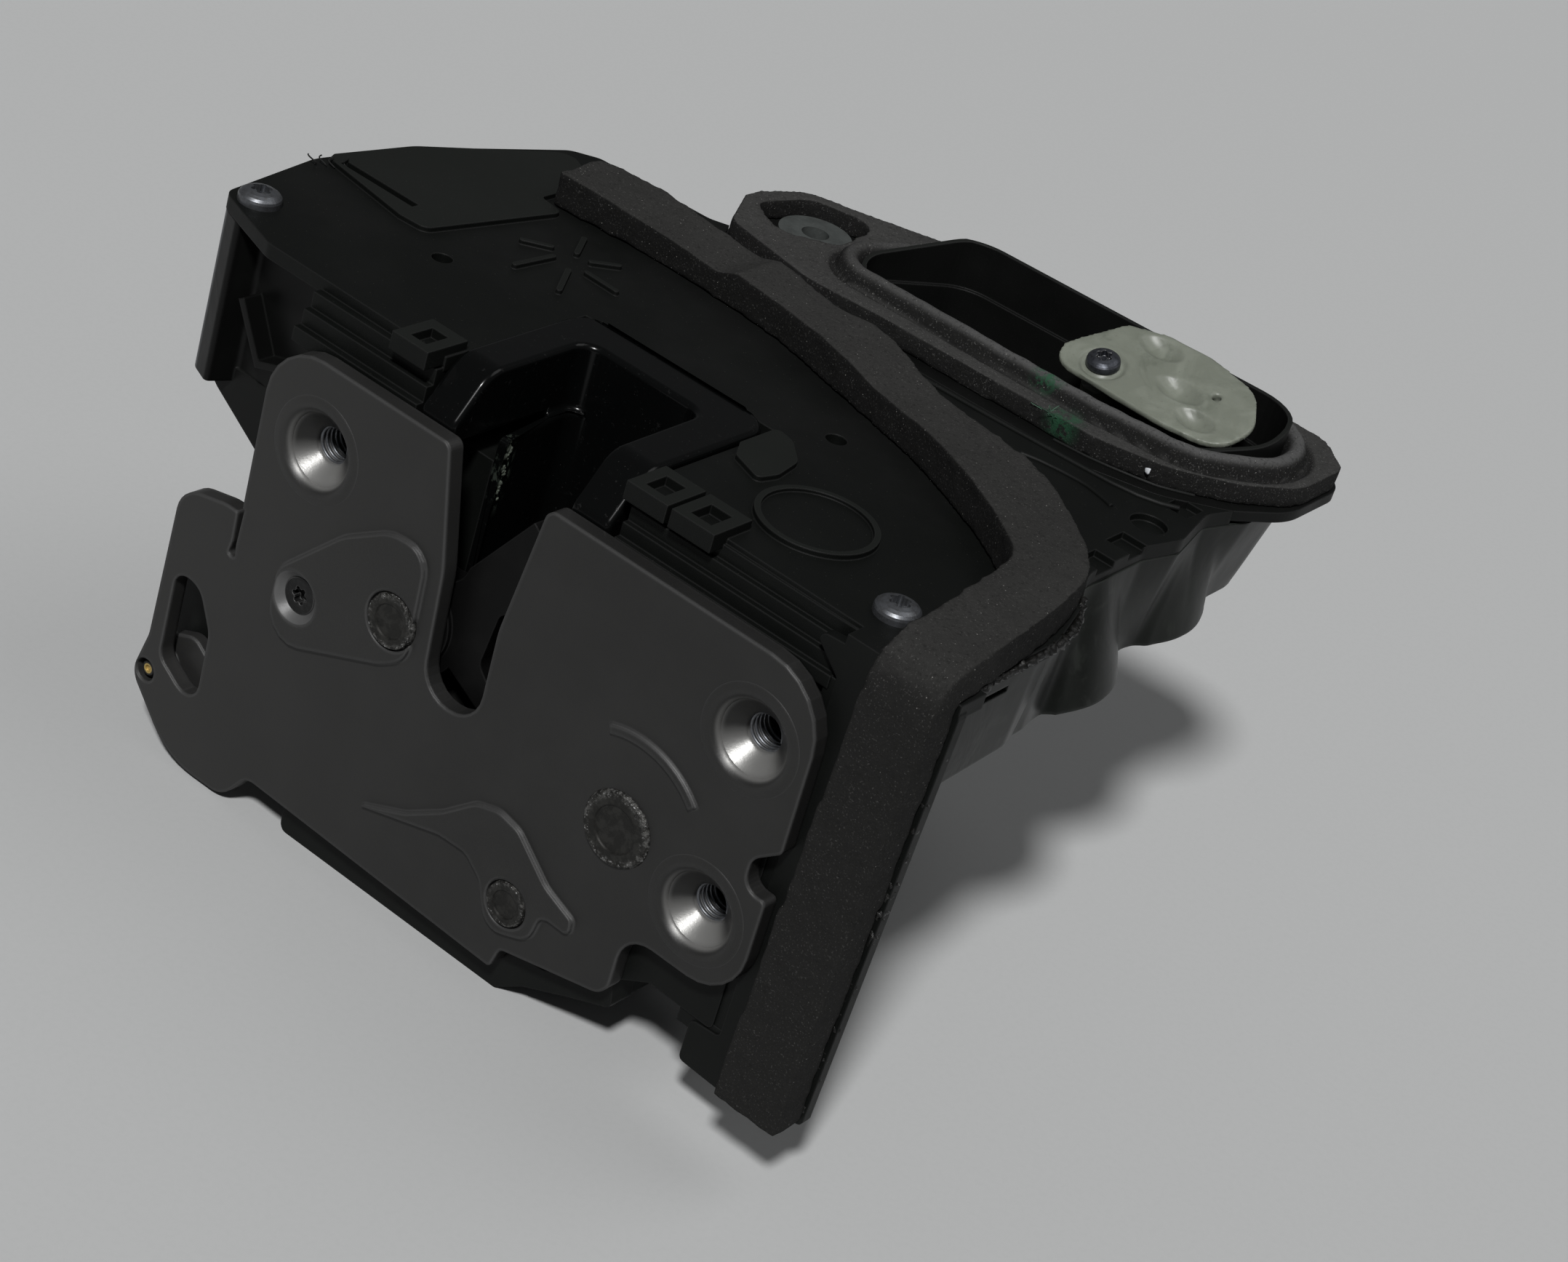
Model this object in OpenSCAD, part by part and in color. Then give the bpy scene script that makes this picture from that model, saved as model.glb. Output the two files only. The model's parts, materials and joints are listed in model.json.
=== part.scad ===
// Rear door lock of a car: steel striker plate with claw and pawl, moulded housings,
// electric lock drive and the sealed socket of the inside release.
// X runs along the striker plate, Y into the door, Z towards the cabin.
// The origin is the middle of the closed striker bar, on the plate's front face.

/* [Striker plate] */
// Thickness of the steel plate
plate_t = 3; // [2.5:0.1:3.5]
// Width of the striker mouth at its closed end
mouth_w = 11.2; // [10:0.2:12.4]
// Depth of the closed end of the mouth below the striker bar
mouth_drop = 7.3; // [6.5:0.1:8]
// Distance between the two upper fixing threads
thread_span = 85.5; // [84:0.5:87]
// Distance between the two fixing threads on the right
thread_rise = 30; // [29:0.5:31]
// Nominal thread diameter of the fixings
thread_d = 6; // [5:0.5:6]
// Rim diameter of the pressed cone round each thread
cone_d = 14; // [12:0.5:15]

/* [Latch] */
// Distance from the mouth's middle to the claw's pivot
claw_arm = 13.7; // [13:0.1:14.4]
// Reach of the claw's lower prong
claw_r = 31; // [30:0.2:31.4]
// Thickness of claw and pawl
claw_t = 5; // [4:0.2:5.4]
// Angle that the claw turns through to close
claw_turn = 80; // [70:1:82]
// Diameter of the striker bar that the lock is made for
striker_d = 10; // [8:0.5:10]

/* [Case] */
// Height of the case's cabin face above the striker bar
case_h = 40; // [39:0.5:41]
// Wall thickness of the mouldings
wall = 2.4; // [2:0.1:2.8]
// Height of the shallow right part's underside
shelf_z = 20; // [18:0.5:21]
// Height of the deep part's underside
belly_z = 9.5; // [8:0.5:10]
// Depth of the latch housing behind the plate
housing_d = 36; // [34:0.5:38]
// Height of the feet below the striker bar
foot_z = -48.5; // [-49:0.1:-48]

/* [Seals] */
// Height of the foam strip on the case
foam_h = 6.3; // [5.5:0.1:7]
// Thickness of the gasket round the socket
gasket_t = 3.5; // [3:0.1:4]

/* [Lock drive] */
// Teeth of the worm wheel
wheel_teeth = 26; // [24:1:28]
// Lead of the worm
worm_lead = 3.1; // [3:0.05:3.3]

/* [Hidden] */

$fn = 48;
eps = 0.02;

// Colours of the materials
black = "#1b1c1d";
gloss_black = "#101112";
smoke = "#55585a";
steel = "#6b6c6b";
zinc = "#b9bcc2";
foam_grey = "#3f3f3b";
nylon = "#c8cab8";

// Places of the fixings and pins, as x and z
thread_a = [-35, 18.5];
thread_b = [thread_a.x + thread_span, thread_a.y];
thread_c = [thread_b.x, thread_b.y - thread_rise];
claw_at = [-claw_arm, 0.7];
pawl_at = [34, -7.4];
spacer_at = [19.5, -30.6];
screw_at = [-32.4, -6];
lobe_at = [-59.2, -35.6];

// Layers of the latch, as distances behind the plate's front face
claw_y = 4.2;
back_y = 10.6;
back_t = 2;
floor_y = back_y + back_t + 0.1;

// Levels of the socket
flange_z = case_h - 1.8;
gasket_z = case_h;
cup_floor_z = case_h - 12;
cup_rim_z = case_h + 9;
crank_z = case_h + 7.4;
crank_at = [49, 103.35];
crank_tilt = 18;

// Places of the lock drive, as x and y
motor_at = [-24, 50.5];
drive_z = 24;
worm_x = 10;
worm_r = 3.1;
worm_wave = 0.8;
wheel_r = 12.6;
wheel_at = [worm_x, motor_at.y + wheel_r + worm_r];
pinion_teeth = 12;
sector_teeth = 36;
gear_m = 0.9;
lever_at = [wheel_at.x - gear_m * (pinion_teeth + sector_teeth) / 2 - 0.1, wheel_at.y];

// Points of a corner at b, rounded with radius r, between the sides to a and c
function unit(v) = v / norm(v);
function corner(a, b, c, r, n) = let (
    p = [b.x, b.y],
    u = unit([a.x, a.y] - p),
    v = unit([c.x, c.y] - p),
    half = acos(u * v) / 2,
    sweep = 180 - 2 * half,
    o = p + unit(u + v) * r / sin(half),
    s = p + u * r / tan(half) - o,
    e = p + v * r / tan(half) - o)
    [for (k = [0:n]) o + (s * sin(sweep * (1 - k / n)) + e * sin(sweep * k / n)) / sin(sweep)];

// Closed outline through corners given as [x, y, radius]
function rounded(p, n = 5) = [for (i = [0:len(p) - 1])
    let (a = p[(i + len(p) - 1) % len(p)], b = p[i], c = p[(i + 1) % len(p)])
    each (b[2] > 0 ? corner(a, b, c, b[2], n) : [[b.x, b.y]])];

// Smooth curve through points
function curve(p, n = 4) = [for (i = [0:len(p) - 2]) for (k = [0:n - 1]) let (
    t = k / n, a = p[max(i - 1, 0)], b = p[i], c = p[i + 1], d = p[min(i + 2, len(p) - 1)])
    0.5 * (2 * b + (c - a) * t + (2 * a - 5 * b + 4 * c - d) * t * t
        + (3 * b - a - 3 * c + d) * t * t * t), p[len(p) - 1]];

function polar(r, a) = [r * cos(a), r * sin(a)];
function arc(r, from, to, n, at = [0, 0]) =
    [for (k = [0:n]) at + polar(r, from + (to - from) * k / n)];

// A flat shape drawn in x and z, standing from y0 backwards by t
module upright(y0, t) {
    translate([0, y0 + t, 0]) rotate([90, 0, 0]) linear_extrude(t) children();
}

module level(z0, t) {
    translate([0, 0, z0]) linear_extrude(t) children();
}

// A round bar or cone along Y at the place p = [x, z]
module bar_y(p, y0, y1, r0, r1 = -1) {
    translate([p.x, y0, p.y]) rotate([-90, 0, 0])
        cylinder(h = y1 - y0, r1 = r0, r2 = r1 < 0 ? r0 : r1);
}

// A round wire along points
module wire(path, r, sides = 8) {
    last = len(path) - 1;
    rings = [for (i = [0:last]) let (
        t = unit(path[min(i + 1, last)] - path[max(i - 1, 0)]),
        side = unit(cross(t, abs(t.y) < 0.8 ? [0, 1, 0] : [1, 0, 0])),
        up = cross(side, t))
        each [for (k = [0:sides - 1]) path[i]
            + r * (side * cos(360 * k / sides) + up * sin(360 * k / sides))]];
    faces = [
        [for (k = [0:sides - 1]) k],
        [for (k = [0:sides - 1]) last * sides + sides - 1 - k],
        each [for (i = [0:last - 1]) for (k = [0:sides - 1])
            [i * sides + k, (i + 1) * sides + k,
                (i + 1) * sides + (k + 1) % sides, i * sides + (k + 1) % sides]]];
    polyhedron(rings, faces, convexity = 6);
}

// Six-lobe recess of a screw, sunk along -Z from z = 0
module six_lobe(r, depth) {
    translate([0, 0, -depth]) {
        cylinder(h = depth + 1, r = r * 0.72, $fn = 24);
        for (a = [0:60:300])
            rotate(a) translate([r * 0.72, 0, 0]) cylinder(h = depth + 1, r = r * 0.26, $fn = 16);
    }
}

// Pan-head screw standing along +Z with its seat at z = 0
module pan_screw(head_r, head_h, shank_r, shank) {
    difference() {
        union() {
            rotate_extrude() polygon(concat([[0, -0.01], [head_r, -0.01], [head_r, head_h * 0.35]],
                [for (k = [1:6]) [head_r * cos(k * 15), head_h * (0.35 + 0.65 * sin(k * 15))]]));
            translate([0, 0, -shank]) cylinder(h = shank, r = shank_r);
        }
        translate([0, 0, head_h]) six_lobe(head_r * 0.5, head_h * 0.7);
    }
}

// Outline of the striker plate
plate_edge = [[-47, 32.6, 9.5], [-11.3, 32.6, 1.6], [-6.9, 13, 20],
    [-mouth_w / 2, -mouth_drop, mouth_w / 2 - 0.05], [mouth_w / 2, -mouth_drop, mouth_w / 2 - 0.05],
    [5.2, 10, 20], [8.2, 32.6, 1.8], [60.6, 32.6, 11], [60.9, 5.4, 1.2], [56.6, 1.9, 3],
    [56.6, -3.3, 2.6], [60.8, -3.3, 0.8], [60.8, -22.2, 8.5], [40.3, -22, 5],
    [40.3, -34.3, 3.4], [20.2, -39, 1.6], [19.2, -43, 0.8], [-34.2, -41.4, 3],
    [-38.4, -47.6, 5], [-51, -47.8, 14], [-61.9, -37.2, 4], [-59.8, -29, 7],
    [-59.3, -1.2, 5], [-50, 0.9, 8], [-46.4, 0.9, 0.5]];
window_edge = [[-56.9, -15.2, 2.6], [-51.6, -15.2, 4], [-47.8, -22, 5],
    [-47.5, -37.2, 3], [-56.9, -31.6, 3]];
screw_pad = [[-36.8, -3, 5], [-26, 8.6, 12], [-17.5, 14.2, 8], [-10, 14.6, 4],
    [-9.2, -4, 5], [-14, -7.2, 6], [-36.6, -16.5, 5]];
spacer_pad = [[-12, -32, 0.1], [-2.5, -27.8, 8], [4, -23.4, 8], [9.6, -18.2, 5], [14, -16.9, 4],
    [18.2, -17.8, 4], [25.5, -23.6, 6], [31.4, -25.9, 1], [31.6, -28.6, 1], [26, -28.4, 2],
    [25, -34, 3.5], [17, -37, 3.5], [13.6, -29.6, 3], [10, -27, 3], [4.5, -27.2, 4]];

module plate_thread(p) {
    bar_y(p, plate_t - 0.6, plate_t + 2.6, cone_d / 2 + 1.6, thread_d / 2 + 2);
    bar_y(p, plate_t + 2, 9.2, thread_d / 2 + 2);
}

module plate_thread_cut(p) {
    bar_y(p, -1, -eps, cone_d / 2 + 0.02);
    bar_y(p, -eps, 3.6, cone_d / 2, thread_d / 2);
    bar_y(p, -1, 12, thread_d / 2);
}

module latch_plate() color(steel) difference() {
    union() {
        upright(0, plate_t) difference() {
            polygon(rounded(plate_edge, 6));
            polygon(rounded(window_edge));
            // Narrow slit between the lobes
            polygon(rounded([[-47.3, 2, 0], [-47.1, -4.4, 0.4], [-47.6, -6.9, 0.6],
                [-45.9, -6.9, 0.6], [-46.2, -4.4, 0.4], [-46, 2, 0]]));
        }
        upright(-0.7, 1) polygon(rounded(screw_pad));
        upright(-0.7, 1) polygon(rounded(spacer_pad));
        // Curved stiffening bead round the pawl's pivot
        upright(-0.5, 1) polygon(concat(arc(16.2, 44, 111, 14, pawl_at), arc(14.8, 111, 44, 14, pawl_at)));
        for (p = [thread_a, thread_b, thread_c]) plate_thread(p);
    }
    for (p = [thread_a, thread_b, thread_c]) plate_thread_cut(p);
    bar_y(screw_at, -2, 6, 2.1);
    bar_y(screw_at, -0.72, 1.62, 4.45, 2.1);
    bar_y(claw_at, -2, 6, 3.6);
    bar_y(pawl_at, -2, 6, 4.6);
    bar_y(spacer_at, -2, 6, 2.4);
    bar_y(lobe_at, -2, 6, 2.02);
    // Seats of the peened heads in the raised pads
    bar_y(claw_at, -2, 0.1, 4.75);
    bar_y(spacer_at, -2, 0.1, 3.95);
}

// Outline of the back plate, which carries the far ends of the pins
back_edge = [[-24, 14, 5], [-15.5, 14, 2], [-15.5, -9.4, 0.8], [9.5, -9.4, 0.8],
    [20, 2.5, 6], [42, 2.5, 7], [42.5, -19, 7], [27, -24, 6], [27, -38, 5],
    [12, -38, 5], [-10, -25, 10], [-24, -14, 6]];

module back_plate() color(steel) difference() {
    upright(back_y, back_t) polygon(rounded(back_edge));
    bar_y(claw_at, 0, 30, 3.6);
    bar_y(pawl_at, 0, 30, 4.6);
    bar_y(spacer_at, 0, 30, 2.4);
}

module plate_screw() color(steel) difference() {
    union() {
        bar_y(screw_at, 0, 1.6, 3.6, 2);
        bar_y(screw_at, -0.3, 0, 3.9, 3.6);
        bar_y(screw_at, 1.6, 14, 2);
    }
    translate([screw_at.x, -0.3, screw_at.y]) rotate([90, 0, 0]) six_lobe(2, 1.4);
}

// Stepped pin whose two ends are riveted over the plates
module riveted_pin(p, body_r, end_r, head_r, proud) {
    difference() {
        union() {
            bar_y(p, -proud, 0, head_r * 0.93, head_r);
            bar_y(p, -0.05, back_y + back_t, end_r - 0.02);
            bar_y(p, plate_t, back_y, body_r);
            bar_y(p, back_y + back_t, back_y + back_t + 1, end_r + 0.9);
        }
        // Dished centre of the peened head
        bar_y(p, -proud - 1, -proud + 0.25, head_r * 0.72, head_r * 0.6);
    }
}

module claw_pin() color(zinc) riveted_pin(claw_at, 4.6, 3.6, 4.6, 0.95);

module pawl_pin() color(zinc) riveted_pin(pawl_at, 5, 4.6, 6.2, 0.6);

module spacer_rivet() color(zinc) riveted_pin(spacer_at, 3.4, 2.4, 3.8, 0.95);

// Claw, drawn round its pivot in the open position
throat_at = [3.06, 13.37];
prong_from = -27;
prong_to = 55;

module claw_shape() difference() {
    union() {
        circle(r = 10);
        polygon(concat([[0, 0]], arc(claw_r, prong_from, prong_to + 6, 14)));
        // Upper prong
        polygon(rounded([[0, -2, 0], [-1.4, 13.9, 0], [-1.6, 24.6, 2.2], [-6.8, 24, 3],
            [-13.1, 13, 5], [-13.4, 2, 5], [-9, -6, 4]]));
    }
    translate(throat_at) circle(r = striker_d / 2 + 0.2);
    // Mouth of the throat, between the prongs
    polygon([throat_at + polar(striker_d / 2 - 0.4, prong_to - 90), polar(claw_r + 4, prong_to + 1),
        [4, 36], [0, 30], throat_at + [-striker_d / 2 + 0.1, 0]]);
    // Relief behind the ratchet face
    polygon([polar(claw_r + 2, prong_from - 4), polar(claw_r + 2, prong_from + 12),
        polar(claw_r - 5, prong_from + 6), polar(claw_r - 11, prong_from - 4)]);
    // Weight-saving window in the fan
    polygon(rounded([[15.5, 8.5, 2], [22.5, 14, 3], [25, 1, 3], [18, -4.5, 3], [14.2, -1, 2]]));
}

module claw() color(gloss_black) difference() {
    union() {
        translate([claw_at.x, claw_y + claw_t, claw_at.y]) rotate([90, 0, 0])
            linear_extrude(claw_t) claw_shape();
        bar_y(claw_at, plate_t + 0.3, claw_y + eps, 8);
        // Stop that the return spring pushes on
        bar_y(claw_at + [-7, 9.5], claw_y + claw_t - eps, back_y - 0.2, 1.4);
    }
    bar_y(claw_at, 0, 20, 4.65);
}

// Pawl, drawn round its pivot, with its nose on the claw's rim
nose_gap = 0.15;
nose_angle = -20;
nose_at = claw_at - pawl_at + polar(claw_r + nose_gap, nose_angle);

module pawl_shape() difference() {
    union() {
        circle(r = 9.4);
        polygon(rounded([[2, 8, 0], [-8.4, 8, 3], [nose_at.x + 1.6, nose_at.y + 3.4, 1.2],
            [nose_at.x + 0.3, nose_at.y - 3.2, 1], [-9, -9, 3], [2, -8.6, 0]]));
        // Tail that the release levers push
        polygon(rounded([[-8, -2, 0], [-3.4, -15.6, 2.4], [3.4, -16.4, 2.4], [9, -2, 0]]));
        // Arm along the plate's bead
        polygon(rounded([[8.6, 2, 0], [11.4, 14.2, 2.4], [5.6, 17.4, 2.4], [-1, 9, 0]]));
    }
    translate(claw_at - pawl_at) circle(r = claw_r + nose_gap, $fn = 180);
}

module pawl() color(steel) difference() {
    union() {
        translate([pawl_at.x, claw_y + claw_t, pawl_at.y]) rotate([90, 0, 0])
            linear_extrude(claw_t - 0.4) pawl_shape();
        // Raised hub and the peg that glides behind the plate's bead
        bar_y(pawl_at, plate_t + 0.3, claw_y + 1, 8);
        bar_y(pawl_at + polar(15.2, 62), plate_t + 0.4, claw_y + 1, 1.6);
    }
    bar_y(pawl_at, 0, 20, 5.05);
}

// Torsion spring round a pin, with its two legs
function coil(p, r, y0, y1, turns, from, n = 18) = [for (k = [0:turns * n])
    [p.x + r * cos(from + 360 * k / n), y0 + (y1 - y0) * k / (turns * n),
        p.y + r * sin(from + 360 * k / n)]];

module claw_spring() color(zinc) wire(concat(
    [[claw_at.x - 4, 10, claw_at.y - 12.6]],
    coil(claw_at, 5.6, 9.85, 9.95, 8 / 9, 250)), 0.22);

module pawl_spring() color(zinc) wire(concat(
    coil(pawl_at, 6.4, 9.8, 9.9, 8 / 9, 20),
    [[pawl_at.x + 11, 9.9, pawl_at.y + 8]]), 0.22);

// Rubber stop that the open claw rests against
buffer_edge = [[-27.3, 12, 1.2], [-27.3, 4, 1.2], [-31, 3, 1], [-31, 13, 1]];

module claw_buffer() color(gloss_black) upright(4.4, 6) polygon(rounded(buffer_edge));

// Fishmouth that guides the striker bar
guard_out = [[-20.8, 3.3, 0], [-21.2, 34, 0], [-20.4, 39.4, 4], [16.8, 39.4, 5],
    [16.6, 3.3, 0]];
guard_in = [[-13.6, 0, 0], [-14.2, 31.5, 3], [8.8, 31.5, 3], [9.2, 0, 0]];

module striker_guard() color(gloss_black) difference() {
    union() {
        // Collar that stands out of the case
        intersection() {
            level(30, 11) polygon(rounded(guard_out));
            // Rounded front end of the collar
            translate([-30, 0, 0]) rotate([90, 0, 90]) linear_extrude(60) polygon(rounded([
                [3.3, 20, 0], [3.3, 33.2, 3], [9.5, 41, 6], [40, 41, 1.5], [40, 20, 0]]));
        }
        // Deep bucket behind the latch
        level(-9.6, 40) polygon(rounded([[-11.6, floor_y, 0], [-15.8, 33.6, 3],
            [11, 33.6, 3], [9.4, floor_y, 0]]));
    }
    level(29.9, 20) polygon(rounded(guard_in));
    level(-7.6, 38) polygon(rounded([[-9.6, 0, 0], [-13.4, 31.5, 3], [8.8, 31.5, 3], [7.4, 0, 0]]));
    // Clearance for the riveted end of the claw's pin
    bar_y(claw_at, 12, 14, 4.9);
}

// Soft pad at the closed end of the mouth
module striker_pad() color(gloss_black) upright(floor_y + 0.3, 15)
    polygon(rounded([[-6.4, -7.5, 0], [-6.4, -6.3, 0.6], [6, -6.3, 0.6], [6, -7.5, 0]]));

// Outline of the latch housing behind the plate, in x and z
housing_edge = [[-44, 30.4, 6], [-21.4, 30.4, 0], [-21.4, 26, 0], [17.4, 26, 0], [17.4, 30.4, 0],
    [57.2, 30.4, 4], [57.2, -30.2, 1], [45, -29.8, 1.5], [39, -33.1, 1.5],
    [39.8, -38, 1], [24, -45, 1], [19, foot_z, 1.2], [-28, foot_z, 1.5],
    [-28, -38, 3], [-43.6, -20, 6]];
pocket_edge = [[-22, 24, 3], [-19, 27.8, 1], [15, 27.8, 1], [20, 16, 4], [42, 12, 6], [54, 3, 3],
    [54.5, -4, 1], [44.4, -6.4, 2], [44.4, -24, 4], [29, -27, 3], [29, -40, 3], [4, -40, 5],
    [-6, -32, 6], [-22, -32, 8], [-27, -14, 3], [-27.6, 14, 3]];

module latch_housing() color(black) difference() {
    union() {
        upright(plate_t + 0.1, housing_d - plate_t - wall - 0.2) polygon(rounded(housing_edge));
        // Rim that follows the plate's lower edge
        upright(plate_t + 0.1, 5) polygon(rounded([[-28, -40, 0], [-28, foot_z, 1.5], [19.2, foot_z, 1],
            [22.3, -45.4, 1.5], [39.9, -38.2, 1], [39, -33.1, 1], [0, -35, 0]]));
    }
    // Pocket of the claw and the pawl
    upright(-1, floor_y + 1) polygon(rounded(pocket_edge));
    upright(4.4, 6) polygon(rounded(buffer_edge));
    // Room for the striker guard
    level(-9.8, 50) polygon(rounded([[-12, floor_y - 1, 0], [-16, 33.8, 3], [11.2, 33.8, 3],
        [9.8, floor_y - 1, 0]]));
    // Hollow back, closed by the rear cover
    upright(floor_y + wall, 40) difference() {
        polygon(rounded([[-25.6, 8, 3], [-18, 8, 1], [-18, -12, 1], [13, -12, 1], [13, 23, 1],
            [54, 23, 3], [54, -27, 2], [37, -30, 2], [36.6, -36.4, 2], [23, -42.6, 2],
            [18, foot_z + wall, 2], [-25.6, foot_z + wall, 2]]));
        for (p = [[30, 8], [30, -26]]) translate(p) circle(r = 4);
        translate([16, -27]) square([18, 1.6]);
        translate([-26, -27]) square([30, 1.6]);
    }
    for (p = [[30, 8], [30, -26]]) bar_y(p, 22, 50, 1.4);
    // Clearance for the thread collars and the screw
    for (p = [thread_a, thread_b, thread_c]) {
        bar_y(p, 0, 10.2, thread_d / 2 + 2.5);
        bar_y(p, plate_t - 0.5, plate_t + 3.4, cone_d / 2 + 2.6, thread_d / 2 + 2.4);
        bar_y(p, 0, 24, thread_d / 2 + 0.4);
    }
    bar_y(screw_at, 0, 14.5, 2.05);
    // Clearance for the riveted ends of the pins
    bar_y(claw_at, 12, 14, 4.9);
    bar_y(pawl_at, 12, 14, 5.9);
    bar_y(spacer_at, 12, 14, 3.7);
    bar_y(lobe_at, 0, 12, 3.6);
    // Ribbed top edge behind the plate
    for (x = [21:6:51]) translate([x, 5.6, 28]) cube([4.4, 5, 5]);
    // Passage of the outside lever
    upright(3, 4) polygon([[-66, -44], [-25, -44], [-25, -24], [-36, -16], [-66, -22]]);
}

// Closes the hollow back of the latch housing
module rear_cover() color(black) difference() {
    union() {
        upright(housing_d - wall, wall) polygon(rounded([[-28, 9.2, 3], [11.4, 9.2, 3],
            [11.4, 24.6, 3], [57.2, 24.6, 3], [57.2, -30.2, 1], [45, -29.8, 1.5], [39, -33.1, 1.5],
            [39.8, -38, 1], [24, -45, 1], [19, foot_z, 1.2], [-28, foot_z, 1.5]]));
        upright(housing_d - wall - 3, 3.1) difference() {
            polygon(rounded([[-25.2, -14, 2], [12, -14, 2], [12, -45.6, 2], [-25.2, -45.6, 2]]));
            polygon(rounded([[-23.4, -16, 2], [10, -16, 2], [10, -43.8, 2], [-23.4, -43.8, 2]]));
        }
    }
    for (p = [[30, 8], [30, -26]]) bar_y(p, 22, 50, 1.7);
    for (z = [-24:5:-4]) translate([20, housing_d - 0.8, z]) cube([30, 2, 2.2]);
    // Slot of the collar for the housing's rib
    translate([-26, 30, -27.3]) cube([4, housing_d - wall - 30, 2.2]);
}

// Lever that the outside handle turns
module outside_lever() color(steel) difference() {
    union() {
        upright(plate_t + 1.2, 2.2) polygon(rounded([[-63.4, -35.4, 3.6], [-59.4, -40.4, 3.6],
            [-50, -41, 4], [-36, -41.6, 2], [-30, -41.2, 2], [-30, -36.4, 2], [-40, -35.6, 5],
            [-48, -31.5, 4], [-54, -27.6, 3], [-58.8, -29.6, 3]]));
        // Turned-up ear that takes the handle's rod
        translate([-44.6, plate_t + 1.2, -41.2]) cube([7, 15, 2]);
        bar_y(lobe_at, plate_t + 0.3, plate_t + 4.4, 3.4);
    }
    bar_y(lobe_at, 0, 20, 2.05);
    translate([-41.1, plate_t + 12, -44]) cylinder(h = 8, r = 1.8);
}

module lobe_pin() color("#a8905a") difference() {
    union() {
        bar_y(lobe_at, -0.9, 0, 1.5, 1.9);
        bar_y(lobe_at, 0, plate_t + 4.6, 2);
        bar_y(lobe_at, plate_t + 4.6, plate_t + 5.4, 3);
    }
    bar_y(lobe_at, -2, -0.3, 0.7);
}

// Outline of the case seen from the cabin, in x and y
case_edge = [[-68.6, 11.6, 3], [-59, 8, 4], [75.5, 6.6, 2], [75.5, 31, 8], [72.5, 41, 8],
    [67, 52, 8], [67, 68, 6], [69, 76, 5], [66.6, 87, 5], [69.5, 97, 6], [69.5, 112, 8],
    [58, 119, 8], [0, 117, 10], [-19, 108, 8], [-25, 94, 5], [-36, 88.8, 5], [-59.6, 87.6, 3],
    [-64, 84.6, 4], [-75, 57, 12], [-78, 37, 10], [-74.6, 14, 3]];
// Right and back walls of the tray
tray_right = [[73.4, 6.8, 2], [73.4, 32, 8], [71.4, 42, 8], [67, 52, 8], [67, 68, 6], [69, 76, 5],
    [66.6, 87, 5], [69.5, 97, 6], [69.5, 109.5, 8], [63, 121, 6], [0, 120, 10], [-20, 110, 8],
    [-25, 94, 5]];
// Left wall of the tray, up to its front corner
tray_left = [[-36, 88.8, 5], [-59.6, 87.6, 3], [-64, 84.6, 4], [-75, 57, 12], [-78, 37, 10],
    [-74.6, 14.2, 3]];
// Front left of the tray, set back so that a corner post stands proud
tray_front = [[-69.4, 11.9, 0.8], [-67.4, 16.6, 1], [-46, 15.4, 1]];
tray_edge = concat(tray_front, [[-46, 8.6, 1]], tray_right, tray_left);
// Deep part under the lock drive
belly_edge = concat(tray_front, [[-46, 37.8, 2], [52, 37.8, 3], [57, 46, 6], [57, 98, 8],
    [48, 112, 8], [0, 111, 8], [-17, 103, 8], [-24, 92, 5]], tray_left);
// Shallow part that reaches past the deep one at the front, right and back
shelf_edge = concat([[-46, 8.6, 1]], tray_right, [[-36, 86, 3], [-40, 60, 3], [-46, 58, 1]]);
// Soft bulges of the right wall: centre and radius at the lower edge
wall_bulges = [[61, 57, 12.6], [60, 87, 11]];
// Space in which the latch housing stands
latch_gap = [[-45, -5], [-45, 36.6], [58, 36.6], [58, -5]];

// Same outline, moved in by d, for convex runs of corners
function inset(p, d) = [for (i = [0:len(p) - 1]) let (
    a = p[(i + len(p) - 1) % len(p)], b = p[i], c = p[(i + 1) % len(p)],
    u = unit([a.x - b.x, a.y - b.y]), v = unit([c.x - b.x, c.y - b.y]),
    turn = cross([u.x, u.y, 0], [v.x, v.y, 0]).z,
    m = unit(u + v) * (turn < 0 ? 1 : -1) * d / sin(acos(u * v) / 2))
    [b.x + m.x, b.y + m.y, max(b[2] + (turn < 0 ? -d : d), 0.3)]];

cover_t = wall;
cover_z = case_h - cover_t;
case_screws = [[-70, 16.7], [58.8, 13.9]];

// Low front left corner of the tray, in x and z
toe = [[-73.6, 9.6], [-70.4, 7], [-59.4, 0.4], [-46, 0.4], [-46, 12], [-73.6, 12]];
toe_in = [[-71, 30], [-71, 10.4], [-69.4, 9.2], [-59, 2.9], [-48.4, 2.9], [-48.4, 30]];

// Bulge of the right wall, thinner by d, that tapers from height z up to the cover
module bulge(q, z, d) translate([q.x, q.y, z]) cylinder(h = cover_z - z - 0.05,
    r1 = q[2] - d, r2 = q[2] - d - 0.38 * (cover_z - z));

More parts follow.
